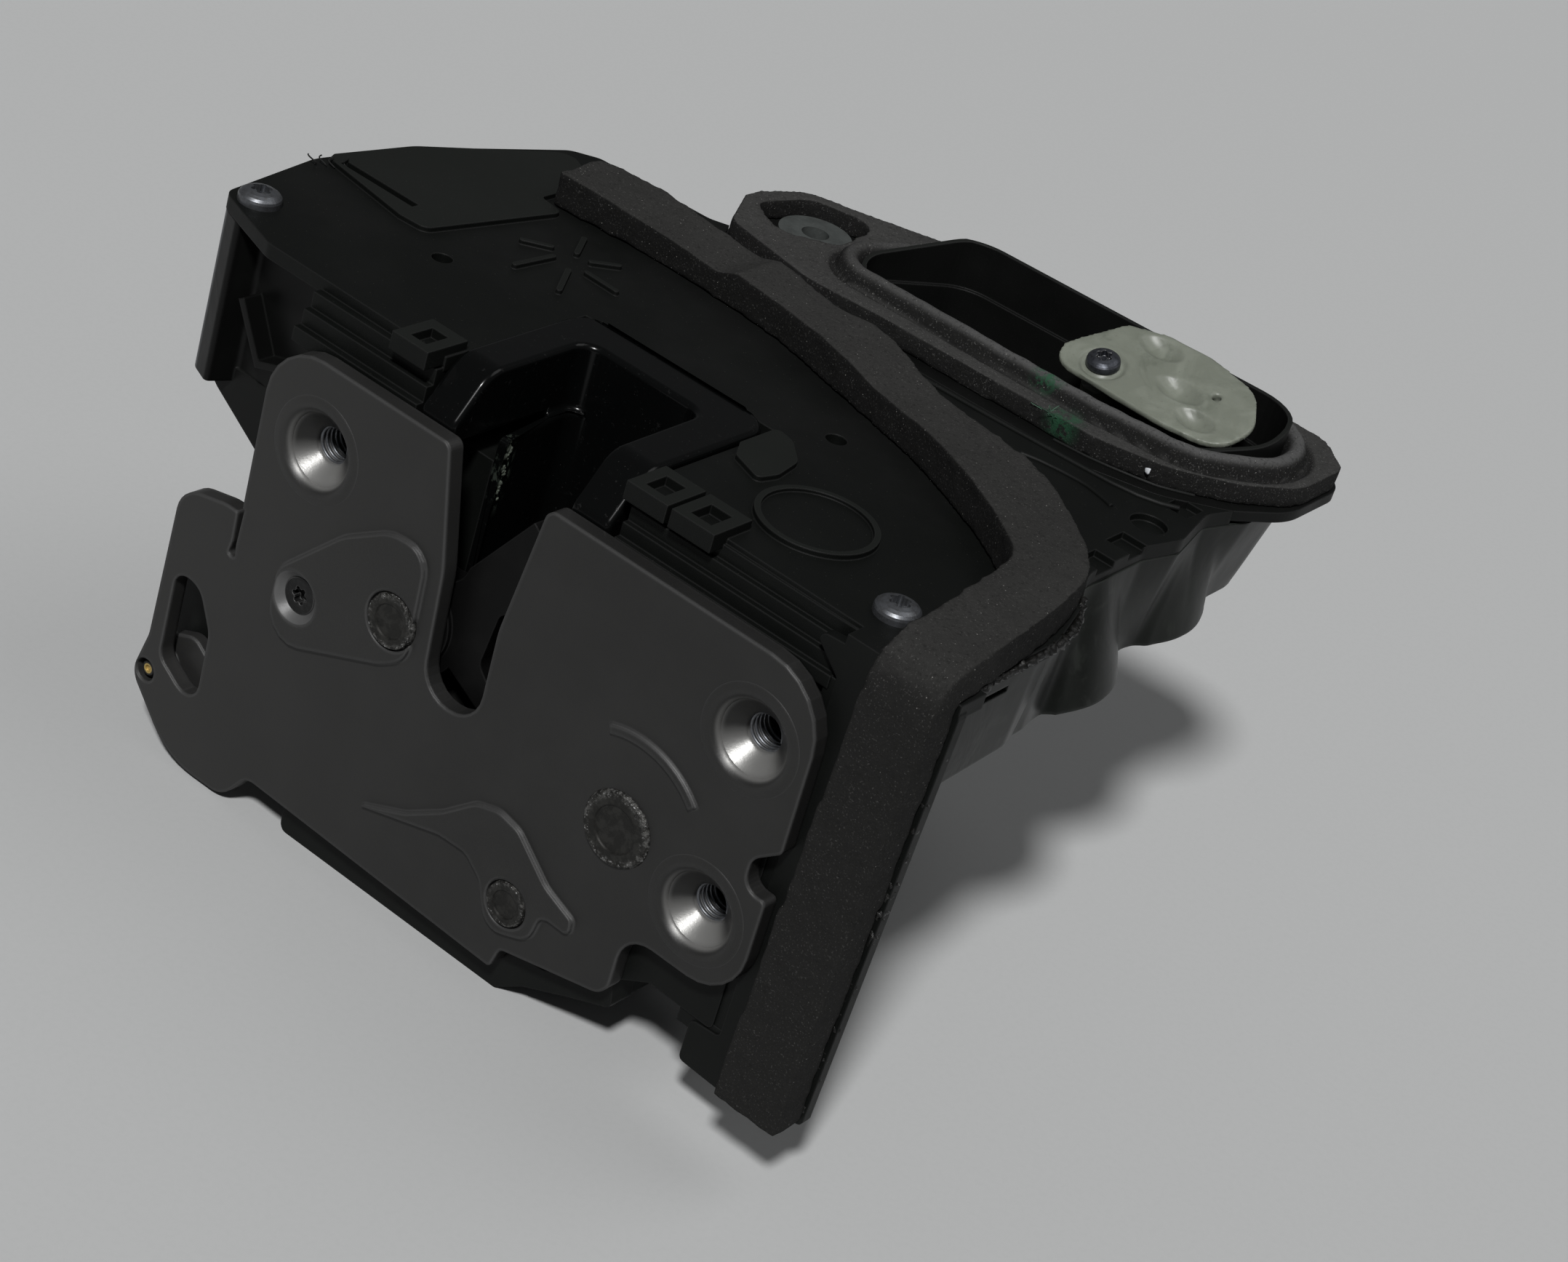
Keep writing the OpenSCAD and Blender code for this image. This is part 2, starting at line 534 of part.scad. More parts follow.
// Grey tray of the case, with its wavy right wall
module case_base() color(smoke) difference() {
    union() {
        level(shelf_z, cover_z - 0.05 - shelf_z) polygon(rounded(shelf_edge));
        level(belly_z, cover_z - 0.05 - belly_z) polygon(rounded(belly_edge));
        upright(16.2, 20) polygon(toe);
        // Bent rib on the recessed front wall
        upright(12.6, 4.4) polygon([[-66.6, 25.6], [-60.6, 16.4], [-54.6, 18.4], [-54.9, 19.5],
            [-60.2, 17.8], [-65.6, 26.2]]);
        for (q = wall_bulges) bulge(q, shelf_z, 0);
    }
    difference() {
        union() {
            level(shelf_z + wall, 40) polygon(rounded(inset(tray_edge, wall)));
            for (q = wall_bulges) bulge(q, shelf_z + wall, wall);
        }
        // Ribs across the tray
        for (x = [-52, 34]) translate([x, 84, 0]) cube([1.6, 40, shelf_z + 6]);
        translate([40, 62, 0]) cube([30, 1.6, shelf_z + 6]);
    }
    level(belly_z + wall, shelf_z) polygon(rounded(inset(belly_edge, wall)));
    upright(18.6, 15.2) polygon(toe_in);
    // The latch housing and the striker guard stand in this gap
    level(-1, 80) polygon(latch_gap);
    // Long slit in the right wall
    translate([70, 12, 32.2]) cube([20, 13, 1]);
    for (p = case_screws) translate([p.x, p.y, 30.9]) cylinder(h = 20, r = 1.5);
}

// Black cover with its ribs, hooks and bosses
module hook(x, w) translate([x, 3.4, case_h]) difference() {
    translate([0, 0, -1.4]) cube([w, 8.8, 3]);
    translate([2, 1.8, -3]) cube([w - 4, 4.8, 8]);
}

// Six uneven arms in the middle of the face, as start and end
star_arms = [[[-39.2, 51.4], [-42.8, 48.4]], [[-36.7, 49], [-37.3, 40.5]],
    [[-32.3, 47.7], [-28.3, 40.9]], [[-30.4, 50.1], [-24.1, 49.9]], [[-32.7, 53.8], [-29.9, 57.4]],
    [[-35.8, 53.8], [-38.9, 59.2]]];

module star_rib() for (a = star_arms) level(case_h - 0.1, 0.9) hull() {
    translate(a[0]) circle(r = 0.5, $fn = 12);
    translate(a[1]) circle(r = 0.5, $fn = 12);
}

module case_cover() color(black) difference() {
    union() {
        level(cover_z, cover_t) polygon(rounded(case_edge));
        // Raised field at the back left
        level(case_h - 0.1, 1) polygon(rounded([[-76, 38.2, 1], [-57, 34.6, 1], [-51.6, 35, 2],
            [-46.6, 62.6, 1.5], [-52, 63.4, 1], [-52.2, 77, 2], [-62, 82.4, 3], [-74, 56, 10],
            [-76.8, 40, 1]]));
        // Stepped ledges down to the plate
        for (i = [0:3]) translate([18, 3.2 + i * 1.1, 30.6]) cube([39.8, 5 - i * 1.1, 2 + i * 2.2]);
        for (i = [0:2]) translate([-47, 3.4 + i * 1.4, 30.6]) cube([25.6, 5 - i * 1.4, 2.4 + i * 2.6]);
        hook(-28.8, 7.2);
        hook(17.4, 7.6);
        hook(25.8, 7.8);
        // Arm that leads from the guard to the boss
        level(case_h - 0.1, 1) polygon(rounded([[17.3, 39.4, 1], [21, 38.4, 3], [25.4, 34, 3],
            [26.4, 28, 3], [25.4, 24, 1], [19.4, 26.4, 1], [17.3, 30, 1]]));
        // Carrier of the foam strip's front leg
        upright(plate_t + 0.1, 1.9) polygon(rounded([[53, 38, 1], [78.3, 39.9, 2], [76, -34.9, 1],
            [60.6, -38.6, 1], [53.4, -38.2, 1], [53.4, -30.8, 1], [58.8, -30.4, 1], [58.8, 33, 1]]));
        translate([58.4, plate_t + 0.1, cover_z]) cube([19.6, 6, cover_t]);
        // Shallow boss with its surrounding bead
        translate([37.5, 23, case_h - 0.1]) cylinder(h = 1, r = 9.4);
        star_rib();
    }
    translate([37.5, 23, case_h + 0.3]) cylinder(h = 3, r = 8.4);
    // Front edge of the cover's opening for the latch and the guard
    level(cover_z - 1, 10) polygon([[-21.3, -5], [-21.3, 39.6], [17.1, 39.6], [17.1, -5]]);
    level(20, cover_z - 20 - eps) polygon([[-46.8, 8.6], [-46.8, 30], [57.9, 30], [57.9, 8.6]]);
    // Long groove beside the raised field
    upright(38.6, 1.6) polygon([[-74, case_h - 0.5], [-58, case_h - 0.5], [-58, 44], [-74, 44]]);
    for (p = [[-44.4, 31.4], [23, 47.1]]) translate([p.x, p.y, 0]) cylinder(h = 60, r = 1.7);
    // Recesses behind the foam strip
    translate([63.3, 74.9, case_h - 1.2]) cylinder(h = 4, r = 3);
    for (p = [[61.2, 82.6], [62.6, 63.6], [63.4, 54.4]])
        translate([p.x, p.y, case_h - 1.2]) cube([4.4, 5, 4]);
    // Opening for the socket of the inside release
    level(0, 80) polygon(rounded(inset(oval_edge, -0.15), 8));
    for (p = case_screws) translate([p.x, p.y, 0]) cylinder(h = 60, r = 1.5);
}

module cover_screws() color(zinc) for (p = case_screws)
    translate([p.x, p.y, case_h + 0.01]) pan_screw(3.5, 2.4, 1.45, 9);

// Foam strip along the case and down its carrier
foam_in = [[66, 4.5], [65.4, 12.3], [64.2, 24], [62.6, 34], [57.8, 39.2], [47.3, 46], [32, 53.4],
    [12.5, 59.4], [-1.9, 63.7], [-17.3, 65.4], [-31.8, 65.8], [-50.5, 64.2]];
foam_out = [[-51.4, 75.6], [-40.5, 78.6], [-31.7, 78.6], [-21.5, 77.8], [-13, 77], [-5.2, 75.2],
    [2, 73.4], [8, 74], [15, 72.4], [23, 68.6], [32, 64.6], [47, 61.2], [55, 57.6], [62.6, 52],
    [69.2, 45.4], [72.4, 40.1], [74.3, 32.8], [75.8, 22.9], [77, 11.7], [77.8, 4.5]];
leg_y = -3.6;
leg_low = -34.7;
bend = [4.6, case_h + foam_h + leg_y - 4.6];

module foam_strip() color(foam_grey) {
    level(case_h + 0.05, foam_h - 0.05) polygon(concat(curve(foam_in, 3), curve(foam_out, 2)));
    // Bend over the front edge
    translate([66, 0, 0]) rotate([90, 0, 90]) linear_extrude(11.8)
        polygon(concat(arc(bend.x - leg_y, 90, 180, 8, bend),
            [[plate_t + 0.05, bend.y], [plate_t + 0.05, case_h + 0.05], [bend.x, case_h + 0.05]]));
    upright(leg_y, plate_t + 0.05 - leg_y)
        polygon([[66, bend.y + eps], [77.8, bend.y + eps], [75.6, leg_low], [63.7, leg_low]]);
}

// Socket of the inside release: oval flange and cup
oval_edge = [[-30, 85, 5], [-10, 79.3, 20], [47, 80.2, 14], [59, 84.6, 12], [68, 92.4, 12],
    [73.6, 102, 12], [73.6, 118, 6], [66, 124.8, 8], [0, 122.4, 20], [-20, 113.6, 20],
    [-31.6, 109.6, 6], [-36.6, 98, 8]];
cup_edge = [[-13, 91.6, 5], [40, 92.4, 30], [58, 94.6, 9], [65.6, 104, 9], [65, 117.4, 9],
    [0, 114.6, 9]];
bush_at = [-22.6, 100.6];

// Sloping mouth of the cup, low at the near side, in y and z
cup_top = [[85, 20], [85, case_h + 3.6], [93, case_h + 4], [112, cup_rim_z], [125, cup_rim_z],
    [125, 20]];

module socket_box() color(black) difference() {
    union() {
        level(flange_z, gasket_z - flange_z - 0.05) polygon(rounded(oval_edge, 8));
        // Step of the flange that rests on the case
        level(cover_z, flange_z - cover_z + eps) polygon(rounded(inset(oval_edge, 5), 8));
        intersection() {
            level(cup_floor_z, cup_rim_z - cup_floor_z + 5) polygon(rounded(cup_edge, 8));
            translate([-30, 0, 0]) rotate([90, 0, 90]) linear_extrude(120) polygon(cup_top);
        }
    }
    level(cup_floor_z + wall, 60) polygon(rounded(inset(cup_edge, 1.5), 8));
    // Thin rim of the cup
    level(cup_floor_z + 12.6, 60) polygon(rounded(inset(cup_edge, 0.8), 8));
    // Seat of the cable bush
    translate([bush_at.x, bush_at.y, 0]) cylinder(h = 60, r = 5.05);
    // Seat of the crank's bush
    crank_frame() translate([crank_pin.x, crank_pin.y, -24.1]) {
        cylinder(h = 6.2, r = 5.45);
        cylinder(h = 12, r = 4.3);
    }
}

module oval_gasket() color(foam_grey) difference() {
    union() {
        level(gasket_z, gasket_t) polygon(rounded(inset(oval_edge, 0.3), 8));
        // Raised roll round the cup
        level(gasket_z + 1, gasket_t + 0.4) polygon(rounded(inset(cup_edge, -3.4), 8));
        level(gasket_z + 1, gasket_t + 1.2) polygon(rounded(inset(cup_edge, -2.6), 8));
    }
    level(0, 80) polygon(rounded(inset(cup_edge, -0.3), 8));
    // Crescent round the cable bush
    level(0, 80) polygon(rounded([[-32.4, 96, 3], [-29, 107.4, 4], [-17, 110.6, 4], [-15.4, 97, 2],
        [-24, 90.6, 5]], 8));
}

module cable_bush() color("#8f9294") difference() {
    union() {
        translate([bush_at.x, bush_at.y, cover_z]) cylinder(h = gasket_z - cover_z + 0.1, r = 5);
        translate([bush_at.x, bush_at.y, gasket_z]) cylinder(h = 1.6, r = 6.4);
    }
    translate([bush_at.x, bush_at.y, 0]) cylinder(h = 80, r = 2.4);
}

// White crank that the inside release cable turns, tilted like the cup's mouth
crank_edge = [[-20.6, -6.6, 4], [-21.6, -2, 2], [-17, 8.8, 3], [-10, 11.2, 5], [-2, 11.5, 6],
    [8, 9.4, 7], [12.8, 2, 7], [11.4, -6.1, 5.6], [0, -7.4, 20]];
crank_pin = [5.5, 0.5];
crank_t = 3.2;
crank_screw_at = [-14, -2.2];

module crank_frame() translate([crank_at.x, crank_at.y, crank_z]) rotate([crank_tilt, 0, 0]) children();

module release_crank() color(nylon) crank_frame() difference() {
    union() {
        translate([0, 0, -crank_t]) linear_extrude(crank_t) polygon(rounded(crank_edge, 6));
        translate([crank_pin.x, crank_pin.y, -21]) cylinder(h = 18.5, r = 4);
        translate([crank_screw_at.x, crank_screw_at.y, -7]) cylinder(h = 4, r = 3);
    }
    // Shallow hollows of the moulding
    for (p = [[-10.8, 6.8, 2.6], [-4.2, 1.2, 3], [1.6, -3, 2.4]])
        translate([p.x, p.y, -0.5]) cylinder(h = 2, r = p.z);
    translate([crank_screw_at.x, crank_screw_at.y, -5]) cylinder(h = 9, r = 1.5);
    translate([3.9, 4, -3]) cylinder(h = 9, r = 0.8);
}

module crank_screw() color(zinc) crank_frame()
    translate([crank_screw_at.x, crank_screw_at.y, 0.01]) pan_screw(2.8, 1.8, 1.45, 4.8);

module crank_bush() color("#8f9294") crank_frame() translate([crank_pin.x, crank_pin.y, 0])
    difference() {
        translate([0, 0, -24]) cylinder(h = 6, r = 5.4);
        translate([0, 0, -40]) cylinder(h = 60, r = 4.05);
    }

// Flat-sided direct-current motor
module lock_motor() color(zinc) translate([motor_at.x, motor_at.y, drive_z]) rotate([0, 90, 0]) {
    difference() {
        translate([0, 0, -12.5]) intersection() {
            cylinder(h = 25, r = 10);
            translate([-7.7, -10, 0]) cube([15.4, 20, 25]);
        }
        for (s = [-1, 1]) translate([s * 4.5, 0, -13]) cylinder(h = 3, r = 1);
    }
    translate([0, 0, 12.45]) cylinder(h = 2, r = 3);
    translate([0, 0, -14]) cylinder(h = 1.6, r = 3);
}

// Single-start worm on the motor's shaft
module worm() color("#cfc7a8") translate([worm_x, motor_at.y, drive_z]) rotate([0, 90, 0]) {
    translate([0, 0, -7]) linear_extrude(14, twist = -360 * 14 / worm_lead, slices = 27)
        translate([worm_wave, 0]) circle(r = worm_r - worm_wave, $fn = 8);
    translate([0, 0, -18.9]) cylinder(h = 12, r = 1);
    translate([0, 0, 6.9]) cylinder(h = 4, r = 1);
}

// Involute tooth flank points for a gear of n teeth
function involute(rb, r) = let (a = sqrt(pow(r / rb, 2) - 1)) [r, a * 180 / PI - atan(a)];
function tooth(n, m, slack) = let (
    rp = n * m / 2, rb = rp * cos(20), ra = rp + m * 0.95, rf = rp - m * 1.2,
    at_pitch = involute(rb, rp)[1],
    half = 90 / n - slack / rp * 90 / PI,
    rs = [for (k = [0:4]) let (lo = max(rb, rf)) lo + (ra - lo) * k / 4],
    flank = [for (r = rs) [r, half + at_pitch - involute(rb, max(r, rb))[1]]])
    concat([[rf - 0.3, flank[0][1] + 0.6]], flank);

module gear2d(n, m, count, slack) {
    t = tooth(n, m, slack);
    for (i = [0:count - 1]) rotate(i * 360 / n) polygon(concat([[0, 0]],
        [for (k = [0:len(t) - 1]) polar(t[k][0], -t[k][1])],
        [for (k = [len(t) - 1:-1:0]) polar(t[k][0], t[k][1])]));
    circle(r = n * m / 2 - m * 1.2);
}

module worm_wheel() color("#cfc7a8") difference() {
    translate([wheel_at.x, wheel_at.y, 0]) {
        // Rim whose waves sit in the worm's thread
        level(drive_z - 2.5, 5) difference() {
            polygon([for (k = [0:wheel_teeth * 10 - 1]) let (a = k * 36 / wheel_teeth)
                polar(wheel_r - 0.35 + (worm_wave - 0.15) * cos(a * wheel_teeth), a - 90)]);
            circle(r = 9);
        }
        level(drive_z - 1, 2) circle(r = 9.5);
        level(drive_z - 2.5, 5) circle(r = 3.6);
        level(drive_z + 2.4, 5) gear2d(pinion_teeth, gear_m, pinion_teeth, 0.08);
    }
    translate([wheel_at.x, wheel_at.y, 0]) cylinder(h = 60, r = 1.55);
}

module wheel_pin() color(zinc) translate([wheel_at.x, wheel_at.y, belly_z + wall])
    cylinder(h = cover_z - belly_z - wall - 0.1, r = 1.5);

// Locking lever: toothed sector and arm
module lock_lever() color("#3a3b3c") difference() {
    translate([lever_at.x, lever_at.y, 0]) {
        level(drive_z + 3, 4) {
            intersection() {
                rotate(180 / sector_teeth * (sector_teeth % 2 == 0 ? 1 : 0))
                    gear2d(sector_teeth, gear_m, sector_teeth, 0.08);
                polygon([[0, 0], [24, -13], [24, 13]]);
            }
            circle(r = 4);
            polygon(rounded([[1, 3.6, 0], [-12, 3, 2.5], [-20, -3, 2.5], [-14, -5.5, 2], [1, -3.6, 0]]));
        }
        translate([-15.6, -1.2, drive_z - 4]) cylinder(h = 8, r = 1.8);
    }
    translate([lever_at.x, lever_at.y, 0]) cylinder(h = 60, r = 1.55);
}

module lever_pin() color(zinc) translate([lever_at.x, lever_at.y, belly_z + wall])
    cylinder(h = cover_z - belly_z - wall - 0.1, r = 1.5);

// Lead frame that joins motor, switches and plug
module contact_plate() color("#31584a") difference() {
    level(belly_z + wall + 0.1, 1.5) polygon(rounded([[-66, 24, 2], [-48.6, 24, 2], [-48.6, 44, 2],
        [34, 44, 2], [34, 76, 3], [-54, 78, 4], [-62, 62, 4]]));
    for (p = [wheel_at, lever_at]) translate([p.x, p.y, 0]) cylinder(h = 30, r = 2.2);
}

module connector_pins() color("#b9a15c") for (i = [0:5])
    translate([4 + i * 4.2, 106, cup_floor_z + wall]) cube([0.8, 0.8, 7]);

module micro_switches() color(gloss_black) for (p = [[-60, 50], [-60, 62]])
    translate([p.x, p.y, belly_z + wall + 1.6]) difference() {
        cube([13, 6, 6.5]);
        translate([2, 3, 3]) rotate([-90, 0, 0]) cylinder(h = 8, r = 0.8);
    }

latch_plate();
back_plate();
plate_screw();
claw_pin();
pawl_pin();
spacer_rivet();
claw();
pawl();
claw_spring();
pawl_spring();
claw_buffer();
striker_guard();
striker_pad();
latch_housing();
rear_cover();
outside_lever();
lobe_pin();
case_base();
case_cover();
cover_screws();
foam_strip();
socket_box();
oval_gasket();
cable_bush();
release_crank();
crank_screw();
crank_bush();
lock_motor();
worm();
worm_wheel();
wheel_pin();
lock_lever();
lever_pin();
contact_plate();
connector_pins();
micro_switches();
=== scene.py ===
import json
import math
import random

import bmesh
import bpy
import numpy as np
from mathutils import Matrix, Vector, noise


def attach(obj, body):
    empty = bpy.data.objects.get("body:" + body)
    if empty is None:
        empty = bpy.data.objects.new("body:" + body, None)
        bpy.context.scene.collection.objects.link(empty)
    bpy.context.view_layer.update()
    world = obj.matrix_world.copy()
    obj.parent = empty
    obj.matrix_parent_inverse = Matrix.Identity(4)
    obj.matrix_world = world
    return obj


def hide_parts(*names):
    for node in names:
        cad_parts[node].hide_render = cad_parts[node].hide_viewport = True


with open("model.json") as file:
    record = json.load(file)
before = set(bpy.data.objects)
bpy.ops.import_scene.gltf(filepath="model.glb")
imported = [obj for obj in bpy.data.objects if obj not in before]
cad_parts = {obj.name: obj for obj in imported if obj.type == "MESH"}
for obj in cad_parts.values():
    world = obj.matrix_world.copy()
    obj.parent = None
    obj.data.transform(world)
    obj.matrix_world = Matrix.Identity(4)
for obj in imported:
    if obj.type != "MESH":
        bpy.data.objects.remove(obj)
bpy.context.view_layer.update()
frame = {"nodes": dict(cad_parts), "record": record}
nodes = frame["nodes"]
BODY_OF = {n: b for b, names in frame["record"]["behaviour"]["bodies"].items() for n in names}
SLOT_OF = {s["node"]: s["material_slot"] for s in frame["record"]["subparts"]}
MM = 0.001

# ---------------------------------------------------------------- places, in millimetres
FOOT = -48.5
COVER_TOP = 40.0
# x and z on the plate: cone-pressed threads, screw and pivot; the riveted pins have a radius too
THREADS = [(-35.0, 18.5), (50.5, 18.5), (50.5, -11.5)]
PLATE_SCREW = (-32.4, -6)
LOBE_PIN = (-59.2, -35.6)
PINS = {"claw_pin": (-13.7, 0.7, 4.6), "pawl_pin": (34.0, -7.4, 6.2),
        "spacer_rivet": (19.5, -30.6, 3.8)}
# Top of the cover's raised field, and the depth of the water crust in the striker's mouth
FIELD_TOP = (40.7, 40.85)
CRUST_Y = 14.6
# Centre and reach of the green blots on the gasket
BLOTS = [((32.4, 89.6, 45.6), 3.2), ((40.0, 84.6, 42.4), 3.8)]


# ---------------------------------------------------------------- materials
class Mat:
    """A procedural material whose patterns are laid out in metres in the shared frame."""

    def __init__(self, name, base, rough, metal=0.0, specular=0.5, round_edges=0.0):
        self.m = bpy.data.materials.new(name)
        self.m.use_nodes = True
        self.t = self.m.node_tree
        self.bsdf = self.t.nodes["Principled BSDF"]
        self.bsdf.inputs["Base Color"].default_value = (*base, 1)
        self.bsdf.inputs["Roughness"].default_value = rough
        self.bsdf.inputs["Metallic"].default_value = metal
        self.bsdf.inputs["Specular IOR Level"].default_value = specular
        self.coord = self.node("TexCoord").outputs["Object"]
        self.level = self.node("NewGeometry").outputs["Normal"]
        self.color = (*base, 1)
        self.normal = None
        self.edge = None
        if round_edges:
            self.round_edges(round_edges * MM)

    def put(self, socket, value):
        if isinstance(value, bpy.types.NodeSocket):
            self.t.links.new(value, socket)
        else:
            socket.default_value = value

    def node(self, kind, inputs=None, **settings):
        """A shader node with its settings made and its inputs set or linked."""
        node = self.t.nodes.new("ShaderNode" + kind)
        for key, value in settings.items():
            setattr(node, key, value)
        for key, value in (inputs or {}).items():
            self.put(node.inputs[key], value)
        return node

    def vector_math(self, operation, a, b):
        return self.node("VectorMath", {0: a, 1: b}, operation=operation).outputs

    def round_edges(self, radius):
        """Shades edges as if they were rolled over by radius, and keeps a mask of them."""
        self.normal = self.node("Bevel", {"Radius": radius}, samples=4).outputs["Normal"]
        self.put(self.bsdf.inputs["Normal"], self.normal)
        turned = self.vector_math("DOT_PRODUCT", self.normal, self.level)["Value"]
        self.edge = self.step(turned, 0.9, 0.997, 1.0, 0.0)

    def stretched(self, scale, turn=(0, 0, 0)):
        inputs = {"Scale": scale, "Rotation": turn, "Vector": self.coord}
        return self.node("Mapping", inputs).outputs["Vector"]

    def noise(self, scale, detail=4.0, rough=0.55, distort=0.0, vector=None):
        inputs = {"Scale": scale, "Detail": detail, "Roughness": rough, "Distortion": distort,
                  "Vector": vector or self.coord}
        return self.node("TexNoise", inputs).outputs["Fac"]

    def cells(self, scale, output="Distance"):
        return self.node("TexVoronoi", {"Scale": scale, "Vector": self.coord}).outputs[output]

    def math(self, operation, a, b, clamp=False):
        return self.node("Math", {0: a, 1: b}, operation=operation, use_clamp=clamp).outputs[0]

    def both(self, a, b):
        return self.math("MULTIPLY", a, b)

    def step(self, value, low, high, to_low=0.0, to_high=1.0):
        """Soft step from to_low at low to to_high at high; low may be the greater of the two."""
        inputs = {"Value": value, "From Min": low, "From Max": high, "To Min": to_low,
                  "To Max": to_high}
        return self.node("MapRange", inputs, interpolation_type="SMOOTHSTEP").outputs["Result"]

    def near(self, centre, radius, soft, keep=(1, 1, 1)):
        """1 within radius of centre, falling to 0 over soft; keep 0 leaves a direction out."""
        flat = self.vector_math("MULTIPLY", self.coord, keep)[0]
        point = Vector([c * k * MM for c, k in zip(centre, keep)])
        away = self.vector_math("DISTANCE", flat, point)["Value"]
        return self.step(away, radius * MM, (radius + soft) * MM, 1.0, 0.0)

    def spot(self, x, z, radius, soft):
        """Like near, for a round place on the plate at any depth."""
        return self.near((x, 0, z), radius, soft, keep=(1, 0, 1))

    def share(self, vector, axis):
        return self.node("SeparateXYZ", {0: vector}).outputs[axis]

    def along(self, axis, low, high):
        """0 at low and 1 at high on one axis, in millimetres; low may be the greater one."""
        return self.step(self.share(self.coord, axis), low * MM, high * MM)

    def facing(self, axis, low=0.5, high=0.95):
        """0 where the surface normal's share on an axis is low, 1 where it is high."""
        return self.step(self.share(self.level, axis), low, high)

    def tint(self, mask, colour, amount):
        """Mixes colour over what is there where mask is 1."""
        inputs = {"Factor": self.math("MULTIPLY", mask, amount, clamp=True), "A": self.color,
                  "B": (*colour, 1)}
        self.color = self.node("Mix", inputs, data_type="RGBA").outputs["Result"]
        self.put(self.bsdf.inputs["Base Color"], self.color)

    def sheen(self, mask, low, high, socket="Roughness"):
        """Sets roughness or another value from low where mask is 0 to high where it is 1."""
        self.put(self.bsdf.inputs[socket], self.step(mask, 0.0, 1.0, low, high))

    def bump(self, value, distance, strength):
        inputs = {"Strength": strength, "Distance": distance * MM, "Height": value}
        if self.normal is not None:
            inputs["Normal"] = self.normal
        self.normal = self.node("Bump", inputs).outputs["Normal"]
        self.put(self.bsdf.inputs["Normal"], self.normal)


def grey(value, warm=0.0):
    """A near neutral colour; warm above 0 takes blue out of it."""
    return (value * (1 + warm * 0.3), value, value * (1 - warm))


def shade(colour, k):
    return tuple(c * k for c in colour)


def make_phosphated():
    m = Mat("phosphated_steel", grey(0.02, 0.03), 0.44, metal=0.35, specular=0.4, round_edges=0.9)
    m.tint(m.step(m.noise(60, 5, 0.6), 0.35, 0.7), grey(0.0245, 0.03), 0.8)
    # Paler towards the lobe, mottled
    paler_to_lobe = m.both(m.along("X", 10, -62), m.step(m.noise(35, 4), 0.2, 0.6, 0.7, 1.0))
    m.tint(paler_to_lobe, grey(0.034, 0.03), 0.7)
    m.tint(m.step(m.noise(9000, 2, 0.6), 0.52, 0.75), grey(0.06), 0.35)
    m.tint(m.step(m.noise(500, 6, 0.7), 0.64, 0.76), grey(0.012, 0.05), 0.55)
    # Painted highlights along the plate's edges
    m.tint(m.edge, grey(0.13), 0.5)
    # Only the cones are bare, behind the front face; painted shade darkens their walls that don't
    # face up
    bare = m.spot(*THREADS[0], 5.2, 1.7)
    for place in THREADS[1:]:
        bare = m.math("MAXIMUM", bare, m.spot(*place, 5.2, 1.7))
    bare = m.both(bare, m.along("Y", 0.0, 0.8))
    m.tint(bare, grey(0.36, 0.03), 0.95)
    # Painted shade on the cone walls that don't face up
    m.tint(m.both(bare, m.facing("Z", 0.62, 0.05)), grey(0.02, 0.02), 0.97)
    # Round the plate's screw, behind the front of the pad that it sits in: a pale ring, which is a
    # painted highlight
    screw_highlight = m.both(m.spot(*PLATE_SCREW, 4.5, 0.3), m.along("Y", -0.66, -0.5))
    m.tint(screw_highlight, grey(0.13), 0.8)
    m.sheen(bare, 0.35, 0.7, "Metallic")
    m.sheen(bare, 0.44, 0.33)
    m.bump(m.noise(2600, 4, 0.7), 0.04, 0.45)
    m.bump(m.noise(1400, 3, 0.6, vector=m.stretched((1, 6, 1))), 0.02, 0.3)
    return m.m


def make_zinc():
    m = Mat("zinc_steel", (0.15, 0.157, 0.17), 0.42, metal=0.85)
    m.tint(m.step(m.noise(900, 4), 0.4, 0.65), grey(0.09), 0.6)
    m.tint(m.step(m.noise(3500, 3), 0.55, 0.7), (0.22, 0.225, 0.24), 0.35)
    m.bump(m.noise(2400, 4), 0.03, 0.5)
    return m.m


def make_pin(name, x, z, radius):
    """Riveted pin: a dark mottled middle inside a rough, brighter hammered ring, whose brightness
    is partly a painted highlight, with bright specks that are painted glints.
    """
    m = Mat(name, grey(0.016, 0.08), 0.5, metal=0.5, specular=0.3, round_edges=0.3)
    m.tint(m.step(m.noise(650, 5, 0.65), 0.45, 0.6), grey(0.03, 0.08), 0.8)
    m.tint(m.step(m.noise(1800, 4, 0.7), 0.55, 0.68), grey(0.009), 0.5)
    ring = m.math("SUBTRACT", 1.0, m.spot(x, z, radius * 0.72, radius * 0.2))
    # Brighter hammered ring, partly a painted highlight, and bright specks on it, which are
    # painted glints
    m.tint(m.both(ring, m.step(m.noise(1100, 5, 0.75), 0.46, 0.62)), grey(0.14, 0.04), 0.75)
    m.tint(m.both(ring, m.step(m.noise(2600, 3), 0.62, 0.7)), grey(0.5), 0.7)
    m.bump(m.both(ring, m.noise(1300, 4, 0.7)), 0.3, 0.8)
    m.bump(m.noise(900, 4, 0.7), 0.06, 0.5)
    return m.m


def make_claw():
    m = Mat("claw_skin", grey(0.003), 0.42, specular=0.1, round_edges=0.4)
    m.tint(m.step(m.noise(180, 5), 0.45, 0.7), grey(0.005, 0.03), 0.6)
    # Painted highlights along the edges
    m.tint(m.edge, grey(0.03), 0.3)
    m.bump(m.noise(1800, 3), 0.03, 0.4)
    return m.m


